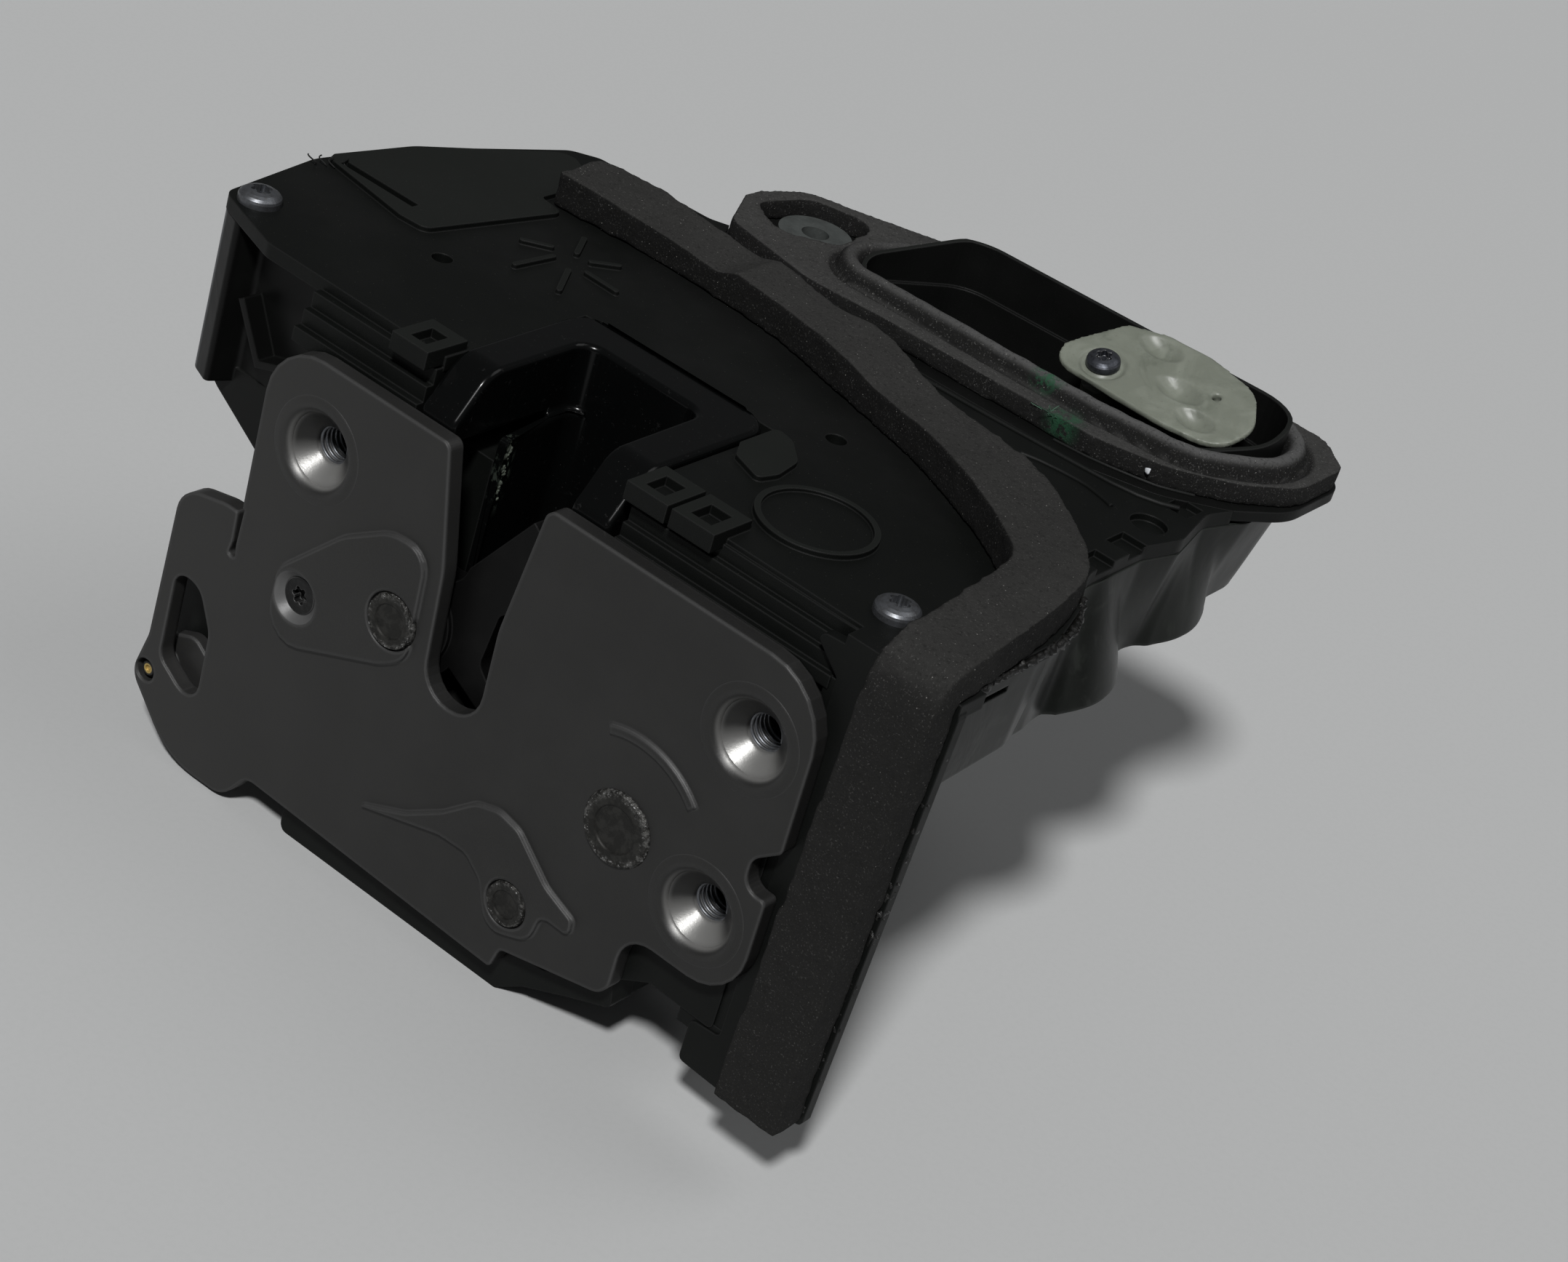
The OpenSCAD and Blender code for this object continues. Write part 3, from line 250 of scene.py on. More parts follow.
def make_black(name, base, dust_colour):
    m = Mat(name, base, 0.5, specular=0.16, round_edges=0.35)
    m.tint(m.step(m.noise(45, 5, 0.6), 0.4, 0.7), shade(base, 1.4), 0.8)
    m.tint(m.step(m.noise(6500, 2), 0.6, 0.78), grey(0.018), 0.35)
    up = m.facing("Z")
    m.tint(m.both(up, m.step(m.noise(25, 6, 0.6), 0.38, 0.7)), dust_colour, 0.45)
    # Dusty raised field at the back left
    m.tint(m.both(up, m.along("Z", *FIELD_TOP)), (0.0125, 0.014, 0.0125), 0.55)
    m.tint(m.both(m.step(m.cells(900), 0.0, 0.09, 1.0, 0.0), up), grey(0.09, 0.1), 0.35)
    # Painted highlights along the edges
    m.tint(m.edge, grey(0.025), 0.4)
    m.sheen(m.noise(120, 4), 0.42, 0.62)
    m.bump(m.noise(4200, 3, 0.6), 0.04, 0.5)
    return m.m


def make_gloss():
    m = Mat("gloss_black", (0.0018, 0.002, 0.002), 0.22, specular=0.2)
    dust = m.step(m.noise(900, 4, 0.7), 0.6, 0.72)
    m.tint(dust, grey(0.012), 0.3)
    patches = m.step(m.noise(300, 3), 0.52, 0.62)
    m.tint(m.both(m.step(m.cells(1500), 0.0, 0.16, 1.0, 0.0), patches), grey(0.09, 0.05), 0.35)
    # Pale crust that water left on the left wall of the mouth
    streak = m.near((-11.4, CRUST_Y, 24), 0.4, 2.2, keep=(1, 1, 0.3))
    broken = m.step(m.noise(900, 5, 0.7, vector=m.stretched((1, 1, 0.5))), 0.5, 0.6)
    crust = m.both(streak, broken)
    m.tint(crust, (0.13, 0.16, 0.13), 0.8)
    m.sheen(m.math("MAXIMUM", dust, crust), 0.2, 0.6)
    m.bump(m.noise(150, 3), 0.06, 0.3)
    m.bump(crust, 0.15, 0.6)
    return m.m


def make_smoke():
    """Smoky grey plastic: dark, with milky streaks and painted highlights on its edges."""
    m = Mat("smoke_plastic", (0.0048, 0.0056, 0.0048), 0.36, specular=0.16, round_edges=0.5)
    flow = m.noise(34, 4, 0.5, 2.6, vector=m.stretched((1, 1, 0.5), (0.5, 0.3, 0)))
    m.tint(m.step(flow, 0.42, 0.7), (0.0125, 0.0142, 0.0122), 0.85)
    m.tint(m.step(m.noise(85, 4, 0.6, 3.2), 0.56, 0.7), (0.022, 0.0245, 0.0215), 0.4)
    # Painted highlights along the edges
    m.tint(m.edge, (0.055, 0.06, 0.055), 0.45)
    # Left corner, where black parts stand behind it, and its post with a pale outer edge
    m.tint(m.along("X", -50, -58), grey(0.003), 0.85)
    front = m.along("Y", 15.0, 14.3)
    m.tint(m.both(m.along("X", -68.6, -69.2), front), grey(0.003), 0.95)
    post_edge = m.both(m.along("X", -73.0, -73.3), front)
    pale_edge = m.both(post_edge, m.step(m.noise(140, 3), 0.2, 0.6, 0.75, 1.0))
    m.tint(pale_edge, (0.05, 0.053, 0.058), 0.9)
    m.sheen(flow, 0.3, 0.46)
    m.bump(m.noise(900, 3), 0.03, 0.35)
    m.bump(m.noise(55, 3, 0.5, 1.4), 0.5, 0.35)
    return m.m


def make_foam(name, base, green=False):
    """Open foam; green adds the gasket's painted shade in its groove, a painted highlight on its
    roll and green blots.
    """
    m = Mat(name, base, 0.95, specular=0.15)
    m.tint(m.step(m.noise(70, 5, 0.6), 0.35, 0.7), shade(base, 1.25), 0.8)
    # Painted shade: the sides darker than the top, more so near the front and where they face -X
    m.tint(m.facing("Z", 0.85, 0.3), shade(base, 0.5), 0.9)
    m.tint(m.both(m.facing("Z", 0.9, 0.4), m.along("Y", 8, 15)), shade(base, 0.24), 0.92)
    m.tint(m.facing("X", -0.25, -0.8), shade(base, 0.25), 0.9)
    if green:
        # Painted shade in the groove, and a painted highlight on the top of the roll's right part
        m.tint(m.along("Z", 43.35, 42.8), shade(base, 0.3), 0.9)
        roll = m.both(m.along("Z", 44.3, 45.4), m.facing("Z", 0.45, 0.95))
        m.tint(m.both(roll, m.along("X", -30, 40)), grey(0.085), 0.75)
    m.tint(m.step(m.noise(1500, 4, 0.7), 0.5, 0.7), shade(base, 0.4), 0.65)
    m.tint(m.step(m.noise(3200, 3, 0.6), 0.58, 0.7), shade(base, 3.0), 0.6)
    # Tiny bright specks, made glossier: painted glints
    rare = m.step(m.cells(1300, "Color"), 0.66, 0.7)
    painted_glint = m.both(m.step(m.cells(1300), 0.05, 0.14, 1.0, 0.0), rare)
    m.tint(painted_glint, grey(0.3, 0.06), 0.7)
    if green:
        for centre, reach in BLOTS:
            blot = m.both(m.near(centre, 0.6, reach), m.step(m.noise(650, 5, 0.7), 0.4, 0.56))
            m.tint(blot, (0.016, 0.075, 0.036), 0.8)
    m.sheen(painted_glint, 0.95, 0.3)
    m.bump(m.noise(1300, 5, 0.75), 0.3, 0.8)
    m.bump(m.noise(240, 4, 0.6), 0.5, 0.35)
    return m.m


def make_nylon():
    m = Mat("nylon", (0.155, 0.168, 0.138), 0.4, specular=0.4)
    m.tint(m.step(m.noise(110, 4, 0.6, 1.4), 0.42, 0.66), (0.2, 0.215, 0.18), 0.7)
    m.tint(m.step(m.noise(75, 4, 0.6, 2.2), 0.55, 0.7), (0.1, 0.112, 0.088), 0.65)
    m.tint(m.step(m.noise(1500, 4), 0.63, 0.72), grey(0.08, 0.15), 0.3)
    m.bsdf.inputs["Subsurface Weight"].default_value = 0.3
    m.bsdf.inputs["Subsurface Radius"].default_value = (0.003, 0.003, 0.0025)
    m.bump(m.noise(95, 3, 0.5, 1.2), 0.9, 0.4)
    m.bump(m.noise(1500, 3), 0.04, 0.4)
    return m.m


def make_plain(name, base, rough, metal=0.0):
    m = Mat(name, base, rough, metal=metal, specular=0.4)
    m.tint(m.step(m.noise(260, 5, 0.6), 0.4, 0.68), shade(base, 0.55), 0.6)
    m.tint(m.step(m.noise(2600, 3), 0.55, 0.72), shade(base, 1.6), 0.4)
    m.bump(m.noise(2200, 3), 0.04, 0.5)
    return m.m


def make_head(name, base, rough, metal, round_edges, mottle, pale_edge):
    """Plated screw head, mottled, with painted highlights on its edges."""
    m = Mat(name, base, rough, metal=metal, specular=0.4, round_edges=round_edges)
    m.tint(m.step(m.noise(1500, 4), 0.45, 0.65), mottle, 0.7)
    # Painted highlights along the edges
    m.tint(m.edge, pale_edge, 0.6)
    m.bump(m.noise(2400, 3), 0.03, 0.5)
    return m.m


def make_lobe_pin():
    m = Mat("lobe_pin_metal", grey(0.02), 0.45, metal=0.6, round_edges=0.25)
    m.tint(m.spot(*LOBE_PIN, 0.75, 0.2), (0.52, 0.38, 0.13), 0.95)
    m.tint(m.step(m.noise(2600, 3), 0.5, 0.7), grey(0.05), 0.4)
    return m.m


MATS = {
    "phosphated_steel": make_phosphated(),
    "zinc_steel": make_zinc(),
    "claw_steel": make_claw(),
    "black_plastic": make_black("black_plastic", (0.003, 0.0035, 0.0031), grey(0.009)),
    "gloss_black": make_gloss(),
    "smoke_plastic": make_smoke(),
    "foam": make_foam("foam", grey(0.0235, 0.04)),
    "nylon": make_nylon(),
    "natural_plastic": make_plain("natural_plastic", (0.3, 0.27, 0.2), 0.45),
    "grey_bush": make_plain("grey_bush", (0.052, 0.057, 0.055), 0.5),
    "pin_brass": make_plain("pin_brass", (0.2, 0.15, 0.07), 0.4, metal=0.85),
    "board": make_plain("board", (0.012, 0.045, 0.03), 0.4),
}
# Nodes that look different from the rest of their slot
OWN = {
    "crank_screw": make_head("blued_zinc", (0.075, 0.08, 0.093), 0.38, 0.8, 0.2,
                             (0.03, 0.033, 0.039), grey(0.3)),
    # The socket's darker copy of the black plastic is painted shade in its cup
    "socket_box": make_black("socket_shaded_black", (0.003, 0.0032, 0.003), grey(0.005)),
    "plate_screw": make_head("screw_skin", grey(0.011), 0.4, 0.5, 0.25, grey(0.02), grey(0.2)),
    "lobe_pin": make_lobe_pin(),
    **{name: make_pin(name + "_metal", *place) for name, place in PINS.items()},
}


# ---------------------------------------------------------------- pieces
def coat(mesh, material):
    mesh.materials.clear()
    mesh.materials.append(material)


def smoothed(ob, angle=32):
    """Smooth shading between near-level faces, with the large faces kept flat."""
    ob.data.shade_smooth()
    ob.data.set_sharp_from_angle(angle=math.radians(angle))
    weights = ob.modifiers.new("level", "WEIGHTED_NORMAL")
    weights.keep_sharp = True
    weights.weight = 80


def evaluated(ob):
    """The object's shape as a mesh, with its modifiers in it."""
    graph = bpy.context.evaluated_depsgraph_get()
    return bpy.data.meshes.new_from_object(ob.evaluated_get(graph))


def applied(ob):
    mesh = evaluated(ob)
    ob.modifiers.clear()
    ob.data = mesh


def built(bm, name):
    """The mesh that bm holds, with bm set free."""
    mesh = bpy.data.meshes.new(name)
    bm.to_mesh(mesh)
    bm.free()
    return mesh


def added(name, data):
    ob = bpy.data.objects.new(name, data)
    bpy.context.scene.collection.objects.link(ob)
    return ob


def new_piece(name, mesh, slot, material=None, body="lock_body"):
    ob = added(name, mesh)
    coat(mesh, material or MATS[slot])
    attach(ob, body)
    return ob


def stand_in(node, mesh, ending):
    """A piece with a CAD node's body and material (picked by the node's slot), to take its place.
    """
    return new_piece(node + ending, mesh, SLOT_OF[node], OWN.get(node), BODY_OF[node])


def evened(ob, voxel, rounds):
    """Gives the piece small even faces and smooths it."""
    remesh = ob.modifiers.new("even", "REMESH")
    remesh.mode = "VOXEL"
    remesh.voxel_size = voxel * MM
    applied(ob)
    smooth = ob.modifiers.new("smooth", "SMOOTH")
    smooth.factor = 0.5
    smooth.iterations = rounds
    applied(ob)
    ob.data.shade_smooth()


def ramp(value, low, high):
    """0 at low, 1 at high, straight between and level beyond them."""
    return min(max((value - low) / (high - low), 0), 1)


for name, node in nodes.items():
    coat(node.data, OWN.get(name, MATS[SLOT_OF[name]]))
    smoothed(node)


# ---------------------------------------------------------------- foam strip and guard
def foamed(ob, node, points, wave, grain, sunk):
    """Puts the foam's skin at points, slightly uneven, and lets it stand for a CAD node."""
    normals = [v.normal.copy() for v in ob.data.vertices]
    for v, p, normal in zip(ob.data.vertices, points, normals):
        lift = noise.noise(p * 0.35) * wave + noise.noise(p * 1.4) * grain - sunk
        v.co = (p + normal * lift) * MM
    ob.data.shade_smooth()
    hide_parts(node)


# Height of the strip's top along X, where years under load have flattened it
STRIP_X = [-52, -44, -36, -22, -17, -13, -7, 0, 7, 14, 21, 27, 33, 40, 46, 53, 58, 64]
STRIP_TOP = [46.3, 46.0, 45.4, 44.8, 44.6, 46.2, 46.0, 46.0, 46.4, 46.3, 45.6, 45.7, 46.2, 46.5,
             46.6, 46.5, 46.4, 46.4]
STRIP_T = 6.3
STRIP_BEND = (12, 28)


def strip_shape(p):
    """Brings the lying part of the strip to its height; its front bend is left as it is."""
    if p.y > STRIP_BEND[0] and p.z > COVER_TOP + 0.2:
        top = float(np.interp(p.x, STRIP_X, STRIP_TOP))
        scale = 1 + ramp(p.y, *STRIP_BEND) * ((top - COVER_TOP) / STRIP_T - 1)
        p = Vector((p.x, p.y, COVER_TOP + (p.z - COVER_TOP) * scale))
    return p


def make_strip():
    ob = stand_in("foam_strip", nodes["foam_strip"].data.copy(), "_soft")
    evened(ob, 0.6, 4)
    coat(ob.data, MATS["foam"])
    points = [strip_shape(v.co / MM) for v in ob.data.vertices]
    foamed(ob, "foam_strip", points, 0.2, 0.07, 0.12)


def make_guard():
    """The guard with its edges rounded over, from a mesh with welded points and whole faces."""
    mesh = nodes["striker_guard"].data.copy()
    bm = bmesh.new()
    bm.from_mesh(mesh)
    bmesh.ops.remove_doubles(bm, verts=bm.verts, dist=2e-6)
    bmesh.ops.dissolve_limit(bm, angle_limit=math.radians(0.6), verts=bm.verts, edges=bm.edges)
    bm.to_mesh(mesh)
    bm.free()
    ob = stand_in("striker_guard", mesh, "_form")
    bevel = ob.modifiers.new("round", "BEVEL")
    bevel.width = 1.0 * MM
    bevel.segments = 4
    bevel.limit_method = "ANGLE"
    bevel.angle_limit = math.radians(38)
    bevel.use_clamp_overlap = False
    bevel.miter_outer = "MITER_ARC"
    applied(ob)
    smoothed(ob, 50)
    applied(ob)
    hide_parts("striker_guard")


make_strip()
make_guard()


# ---------------------------------------------------------------- outlines
def rounded(corners, n=8):
    """Closed outline through corners given as (x, y, radius), with n steps to a corner."""
    line = []
    for i, (x, y, r) in enumerate(corners):
        at = Vector((x, y))
        to = [(Vector(corners[j][:2]) - at).normalized() for j in (i - 1, (i + 1) % len(corners))]
        half = to[0].angle(to[1]) / 2
        middle = at + (to[0] + to[1]).normalized() * (r / math.sin(half))
        start, end = [at + t * (r / math.tan(half)) - middle for t in to]
        sweep = math.pi - 2 * half
        line += [middle + (start * math.sin(sweep * (1 - k / n)) + end * math.sin(sweep * k / n))
                 / math.sin(sweep) for k in range(n + 1)]
    return line


def grown(line, by):
    """The outline moved outwards."""
    out = []
    for i, p in enumerate(line):
        t = (line[(i + 1) % len(line)] - line[i - 1]).normalized()
        out.append(p + Vector((t.y, -t.x)) * by)
    return out


def outside(points, line):
    """Distance of points from an outline, negative within it."""
    p = np.asarray(points)[:, None, :]
    a = np.array([tuple(c) for c in line])[None]
    edge = np.roll(a, -1, axis=1) - a
    t = np.clip(((p - a) * edge).sum(2) / np.maximum((edge ** 2).sum(2), 1e-9), 0, 1)
    away = np.linalg.norm(p - a - edge * t[..., None], axis=2).min(1)
    crossed = (a[..., 1] > p[..., 1]) != (a[..., 1] + edge[..., 1] > p[..., 1])
    rise = np.where(np.abs(edge[..., 1]) < 1e-9, 1e-9, edge[..., 1])
    at = a[..., 0] + (p[..., 1] - a[..., 1]) * edge[..., 0] / rise
    return np.where((crossed & (p[..., 0] < at)).sum(1) % 2 == 1, -away, away)


def prism(name, loops, low, high, slot, upright=False):
    """Solid between two heights, or between two distances behind the plate if upright."""
    bm = bmesh.new()
    edges = []
    for loop in loops:
        ring = [bm.verts.new((x, low, y) if upright else (x, y, low)) for x, y in loop]
        edges += [bm.edges.new((ring[i - 1], ring[i])) for i in range(len(ring))]
    bmesh.ops.triangle_fill(bm, use_beauty=True, edges=edges)
    made = bmesh.ops.extrude_face_region(bm, geom=list(bm.faces), use_keep_orig=True)["geom"]
    lift = (0, high - low, 0) if upright else (0, 0, high - low)
    bmesh.ops.translate(bm, vec=lift, verts=[v for v in made if isinstance(v, bmesh.types.BMVert)])
    bmesh.ops.recalc_face_normals(bm, faces=bm.faces)
    bmesh.ops.scale(bm, vec=(MM, MM, MM), verts=bm.verts)
    return new_piece(name, built(bm, name), slot)


# ---------------------------------------------------------------- gasket
GASKET_EDGE = [(-30, 85.6, 5), (-10, 81.0, 20), (4, 82.4, 20), (46, 83.5, 14), (58, 87.4, 12),
               (67, 94.6, 12), (73.2, 104, 10), (73.2, 118, 6), (66, 124.4, 8), (0, 122, 20),
               (-20, 113.2, 20), (-31.3, 109.3, 6), (-36.2, 98, 8)]
CUP_EDGE = [(-13, 91.6, 5), (40, 92.4, 30), (58, 94.6, 9), (65.6, 104, 9), (65, 117.4, 9),
            (0, 114.6, 9)]
BUSH_GAP = [(-32.4, 96, 3), (-29, 107.4, 4), (-17, 110.6, 4), (-15.4, 97, 2), (-24, 90.6, 5)]
GASKET_T = 3.5
# Distances from the cup, widths and heights of the flat ring, its groove and the roll
RING_TOP = 43.6
GROOVE_AT, GROOVE_W, GROOVE_DEEP = 4.7, 0.55, 1.3
ROLL_AT, ROLL_R, ROLL_FOOT, ROLL_HIGH = 2.25, 2.1, 42.3, 3.7


def gasket_top(d):
    """Height of the gasket's top at the distance d from the cup."""
    ring = RING_TOP - GROOVE_DEEP * np.exp(-((d - GROOVE_AT) / GROOVE_W) ** 2)
    round_top = np.sqrt(np.clip(1 - ((d - ROLL_AT) / ROLL_R) ** 2, 0, None))
    roll = np.maximum(ROLL_FOOT + ROLL_HIGH * round_top, ring * (d > ROLL_AT))
    return np.where(np.abs(d - ROLL_AT) < ROLL_R, roll, ring)


def make_gasket():
    cup = rounded(CUP_EDGE)
    ob = prism("oval_gasket_soft", [rounded(GASKET_EDGE), grown(cup, 0.3), rounded(BUSH_GAP)],
               COVER_TOP, COVER_TOP + GASKET_T, "foam")
    evened(ob, 0.5, 2)
    coat(ob.data, make_foam("gasket_foam", grey(0.034, 0.03), green=True))
    at = np.array([v.co for v in ob.data.vertices]) / MM
    tops = gasket_top(outside(at[:, :2], cup))
    points = [Vector((x, y, COVER_TOP + (z - COVER_TOP) * (top - COVER_TOP) / GASKET_T))
              for (x, y, z), top in zip(at, tops)]
    foamed(ob, "oval_gasket", points, 0.12, 0.05, 0.0)


make_gasket()

# ---------------------------------------------------------------- crank
CRANK_TILT = 18
CRANK_AT = Vector((49, 103.35, 47.4))
to_crank = Matrix.Rotation(math.radians(-CRANK_TILT), 4, "X") @ Matrix.Translation(-CRANK_AT)
from_crank = to_crank.inverted()
# Soft dents as centre and half widths, and the solid's flat ones, which are filled first
DENTS = [(-9.4, 7.6, 4.2, 2.5), (-1.3, 1.2, 4.6, 2.6), (4.6, -3.0, 3.8, 2.4)]
DENT_DEEP = 1.5
FLAT_DENT = -0.5
CRANK_SCREW = (-14, -2.2)
SCREW_RING_R = 3.2
# The sides draw in towards the middle between these two depths
CRANK_MIDDLE = (-4.5, 1.8)
DRAWN_IN = 0.26
DRAWN_Z = (-1.0, -3.2)
CRANK_FOOT = -3.6


def make_crank():
    """Crank with soft dents in its top and sides that draw in below its rim."""
    ob = stand_in("release_crank", nodes["release_crank"].data.copy(), "_form")
    for v in ob.data.vertices:
        p = to_crank @ (v.co / MM)
        if abs(p.z - FLAT_DENT) < 0.05:
            p.z = 0.0
        v.co = (from_crank @ p) * MM
    evened(ob, 0.34, 2)
    coat(ob.data, MATS["nylon"])
    for v in ob.data.vertices:
        p = to_crank @ (v.co / MM)
        if p.z > DRAWN_Z[0]:
            for x, y, rx, ry in DENTS:
                away = ((p.x - x) / rx) ** 2 + ((p.y - y) / ry) ** 2
                p.z -= DENT_DEEP * max(0.0, 1 - away) ** 1.1
            from_screw = math.hypot(p.x - CRANK_SCREW[0], p.y - CRANK_SCREW[1])
            p.z -= 0.7 * math.exp(-((from_screw - SCREW_RING_R) / 0.55) ** 2)
        elif p.z > CRANK_FOOT:
            drawn = 1 - DRAWN_IN * ramp(p.z, *DRAWN_Z)
            p.x = CRANK_MIDDLE[0] + (p.x - CRANK_MIDDLE[0]) * drawn
            p.y = CRANK_MIDDLE[1] + (p.y - CRANK_MIDDLE[1]) * drawn
        p.z += 0.07 * noise.noise(p * 0.3)
        v.co = (from_crank @ p) * MM
    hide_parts("release_crank")


make_crank()


# ---------------------------------------------------------------- steel details
def reshaped(node, change):
    """A copy of a CAD node whose points are moved by change."""
    ob = stand_in(node, nodes[node].data.copy(), "_form")
    for v in ob.data.vertices:
        v.co = change(v.co / MM) * MM
    smoothed(ob)
    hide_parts(node)


def narrowed(p, centre, scale, depth):
    """The point drawn in towards an axis square to the plate, and set to a depth."""
    x, z = centre
    return Vector((x + (p.x - x) * scale, depth, z + (p.z - z) * scale))


def sunk_screw(p):
    """The head goes down to where its countersink is as wide as it is."""
    return narrowed(p, PLATE_SCREW, 0.78, p.y + 0.85) if p.y < 1.55 else p


def sunk_pin(p):
    """The pin's front end sits narrower and deeper."""
    return narrowed(p, LOBE_PIN, 0.8, 1.2 + p.y * 0.6) if p.y < 0.05 else p


reshaped("plate_screw", sunk_screw)
reshaped("lobe_pin", sunk_pin)


def revolved(name, x, z, profile, slot, segments=72):
    """Ring round a bore of the plate: profile holds closed pairs of radius and depth."""
    bm = bmesh.new()
    rings = [[bm.verts.new(((x + r * math.cos(a)) * MM, y * MM, (z + r * math.sin(a)) * MM))
              for r, y in profile] for a in np.linspace(0, math.tau, segments, endpoint=False)]
    for i, ring in enumerate(rings):
        after = rings[(i + 1) % segments]
        for k in range(len(profile)):
            j = (k + 1) % len(profile)
            bm.faces.new((ring[k], ring[j], after[j], after[k]))
    bmesh.ops.recalc_face_normals(bm, faces=bm.faces)
    smoothed(new_piece(name, built(bm, name), slot), 60)


# Soft rolled mouths of the pressed cones
LIP = [(8.9, 0.05), (8.4, -0.05), (7.9, -0.17), (7.5, -0.25), (7.1, -0.26), (6.8, -0.14),
       (6.5, 0.12), (6.2, 0.46), (5.95, 0.8), (5.75, 1.1), (5.7, 1.6), (8.9, 0.6)]
for i, (x, z) in enumerate(THREADS):
    revolved(f"cone_lip_{i}", x, z, LIP, "phosphated_steel")

# Black web behind the plate's window, which darkens the view through it, and the foam carrier's
# joint and gap strip by the housing
WEB = [(-63.6, -34), (-63.6, -17), (-43, -15.5), (-43, -28), (-50, -31), (-54, -35)]
GAP_SHADE = [(57, 32.5), (59, 32.5), (59, -30.6), (57, -30.2)]
JOINT = [(51, -29.4), (59.4, -29.4), (59.4, -32.6), (51, -32.6)]
prism("lobe_web", [WEB], 8.7, 10.2, "black_plastic", upright=True)
# Dark strip filling the gap between the foam carrier and the housing: painted shade in that gap
prism("carrier_gap_shade", [GAP_SHADE], 3.5, 6, "black_plastic", upright=True)
prism("carrier_joint", [JOINT], 3.4, 5.6, "black_plastic", upright=True)


# ---------------------------------------------------------------- right wall of the case
# Plain run of the wall, and its bulges as centre and radius at the foot
WALL_Y = [32, 42, 52, 68, 76, 87, 97, 109.5, 113]
WALL_X = [73.4, 71.4, 67, 67, 69, 66.6, 69.5, 69.5, 67.8]
BULGES = [(61, 57.5, 12.7), (60, 87.5, 11.4)]
BULGE_TAPER = 0.38
# How much its folds are filled at the foot
WALL_FILL = [0, 0.8, 3.6, 3.0, 1.6, 2.6, 0, 0, 0]
WALL_ENDS = (34.5, 111.5)
WALL_LOW = 20.0
WALL_TOP = 37.4
SKIN_OFF = 0.15
SKIN_T = 0.3
# Lean at the lower rear end, reached between these depths behind the plate and these heights
LEAN = 4.2
LEAN_Y = (20, 80)
LEAN_Z = (37.6, 20)


def blend(a, b, k):
    """Larger of a and b, with the valley between them filled over k."""
    return 0.5 * (a + b + np.sqrt((a - b) ** 2 + k * k))


def lean(y, z):
    """How far the right wall leans inwards, towards its lower rear end."""
    return LEAN * ramp(y, *LEAN_Y) * ramp(z, *LEAN_Z)


def leaning(p):
    return Vector((p.x - lean(p.y, p.z), p.y, p.z)) if p.x > 62 and p.y > LEAN_Y[0] else p


def wall_skin():
    """Soft outer skin of the tray's right wall, which runs over its bulges."""
    ys = np.linspace(*WALL_ENDS, 120)
    foot = WALL_LOW - SKIN_OFF
    tuck = np.clip(np.minimum(ys - WALL_ENDS[0], WALL_ENDS[1] - ys) / 4, 0, 1)
    bm = bmesh.new()
    rows = []
    for n, z in enumerate(np.concatenate([[foot], np.linspace(foot, WALL_TOP, 26)])):
        below = (WALL_TOP - z) / (WALL_TOP - WALL_LOW)
        flat = np.interp(ys, WALL_Y, WALL_X) + np.interp(ys, WALL_Y, WALL_FILL) * below
        x = flat + SKIN_OFF
        for cx, cy, r in BULGES:
            r = r - BULGE_TAPER * max(z - WALL_LOW, 0)
            near = (0.5 + 7.0 * below) * np.clip((r + 4 - np.abs(ys - cy)) / 6, 0, 1)
            x = blend(x, cx + r * np.sqrt(np.clip(1 - ((ys - cy) / r) ** 2, 0, None)), near)
        x = x * tuck + (flat - 0.4) * (1 - tuck)
        if n == 0:
            # The lowest row runs in under the wall
            x = x - 7
        row = []
        for wide, y in zip(x, ys):
            wide -= lean(y, z)
            wave = 0.15 * noise.noise((wide * 0.1, y * 0.12, z * 0.1))
            row.append(bm.verts.new(((wide + wave) * MM, y * MM, z * MM)))
        rows.append(row)
    for low, top in zip(rows, rows[1:]):
        for k in range(len(ys) - 1):
            bm.faces.new((low[k], low[k + 1], top[k + 1], top[k]))
    ob = new_piece("wall_skin", built(bm, "wall_skin"), "smoke_plastic")
    thick = ob.modifiers.new("thick", "SOLIDIFY")
    thick.thickness = SKIN_T * MM
    thick.offset = -1
    applied(ob)
    ob.data.shade_smooth()
    ob.data.set_sharp_from_angle(angle=math.radians(50))


wall_skin()
reshaped("case_base", leaning)


# ---------------------------------------------------------------- thin round details
def tube(name, points, radius, slot, material=None, sides=2):
    """A round wire through points, in millimetres."""
    curve = bpy.data.curves.new(name, "CURVE")
    curve.dimensions = "3D"
    curve.bevel_depth = radius * MM
    curve.bevel_resolution = sides
    curve.use_fill_caps = True
    spline = curve.splines.new("POLY")
    spline.points.add(len(points) - 1)
    for i, (x, y, z) in enumerate(points):
        spline.points[i].co = (x * MM, y * MM, z * MM, 1)
    wire = added(name, curve)
    mesh = evaluated(wire)
    bpy.data.objects.remove(wire)
    new_piece(name, mesh, slot, material).data.shade_smooth()


# Screw threads inside the three pressed cones
THREAD_R = 3.0
THREAD_PITCH = 1.0
THREAD_START = 3.9
THREAD_TURNS = 5.2
for i, (x, z) in enumerate(THREADS):
    turns = [(x + THREAD_R * math.cos(a), THREAD_START + THREAD_PITCH * a / math.tau,
              z + THREAD_R * math.sin(a)) for a in np.linspace(0, math.tau * THREAD_TURNS, 130)]
    tube(f"thread_{i}", turns, 0.33, "zinc_steel")

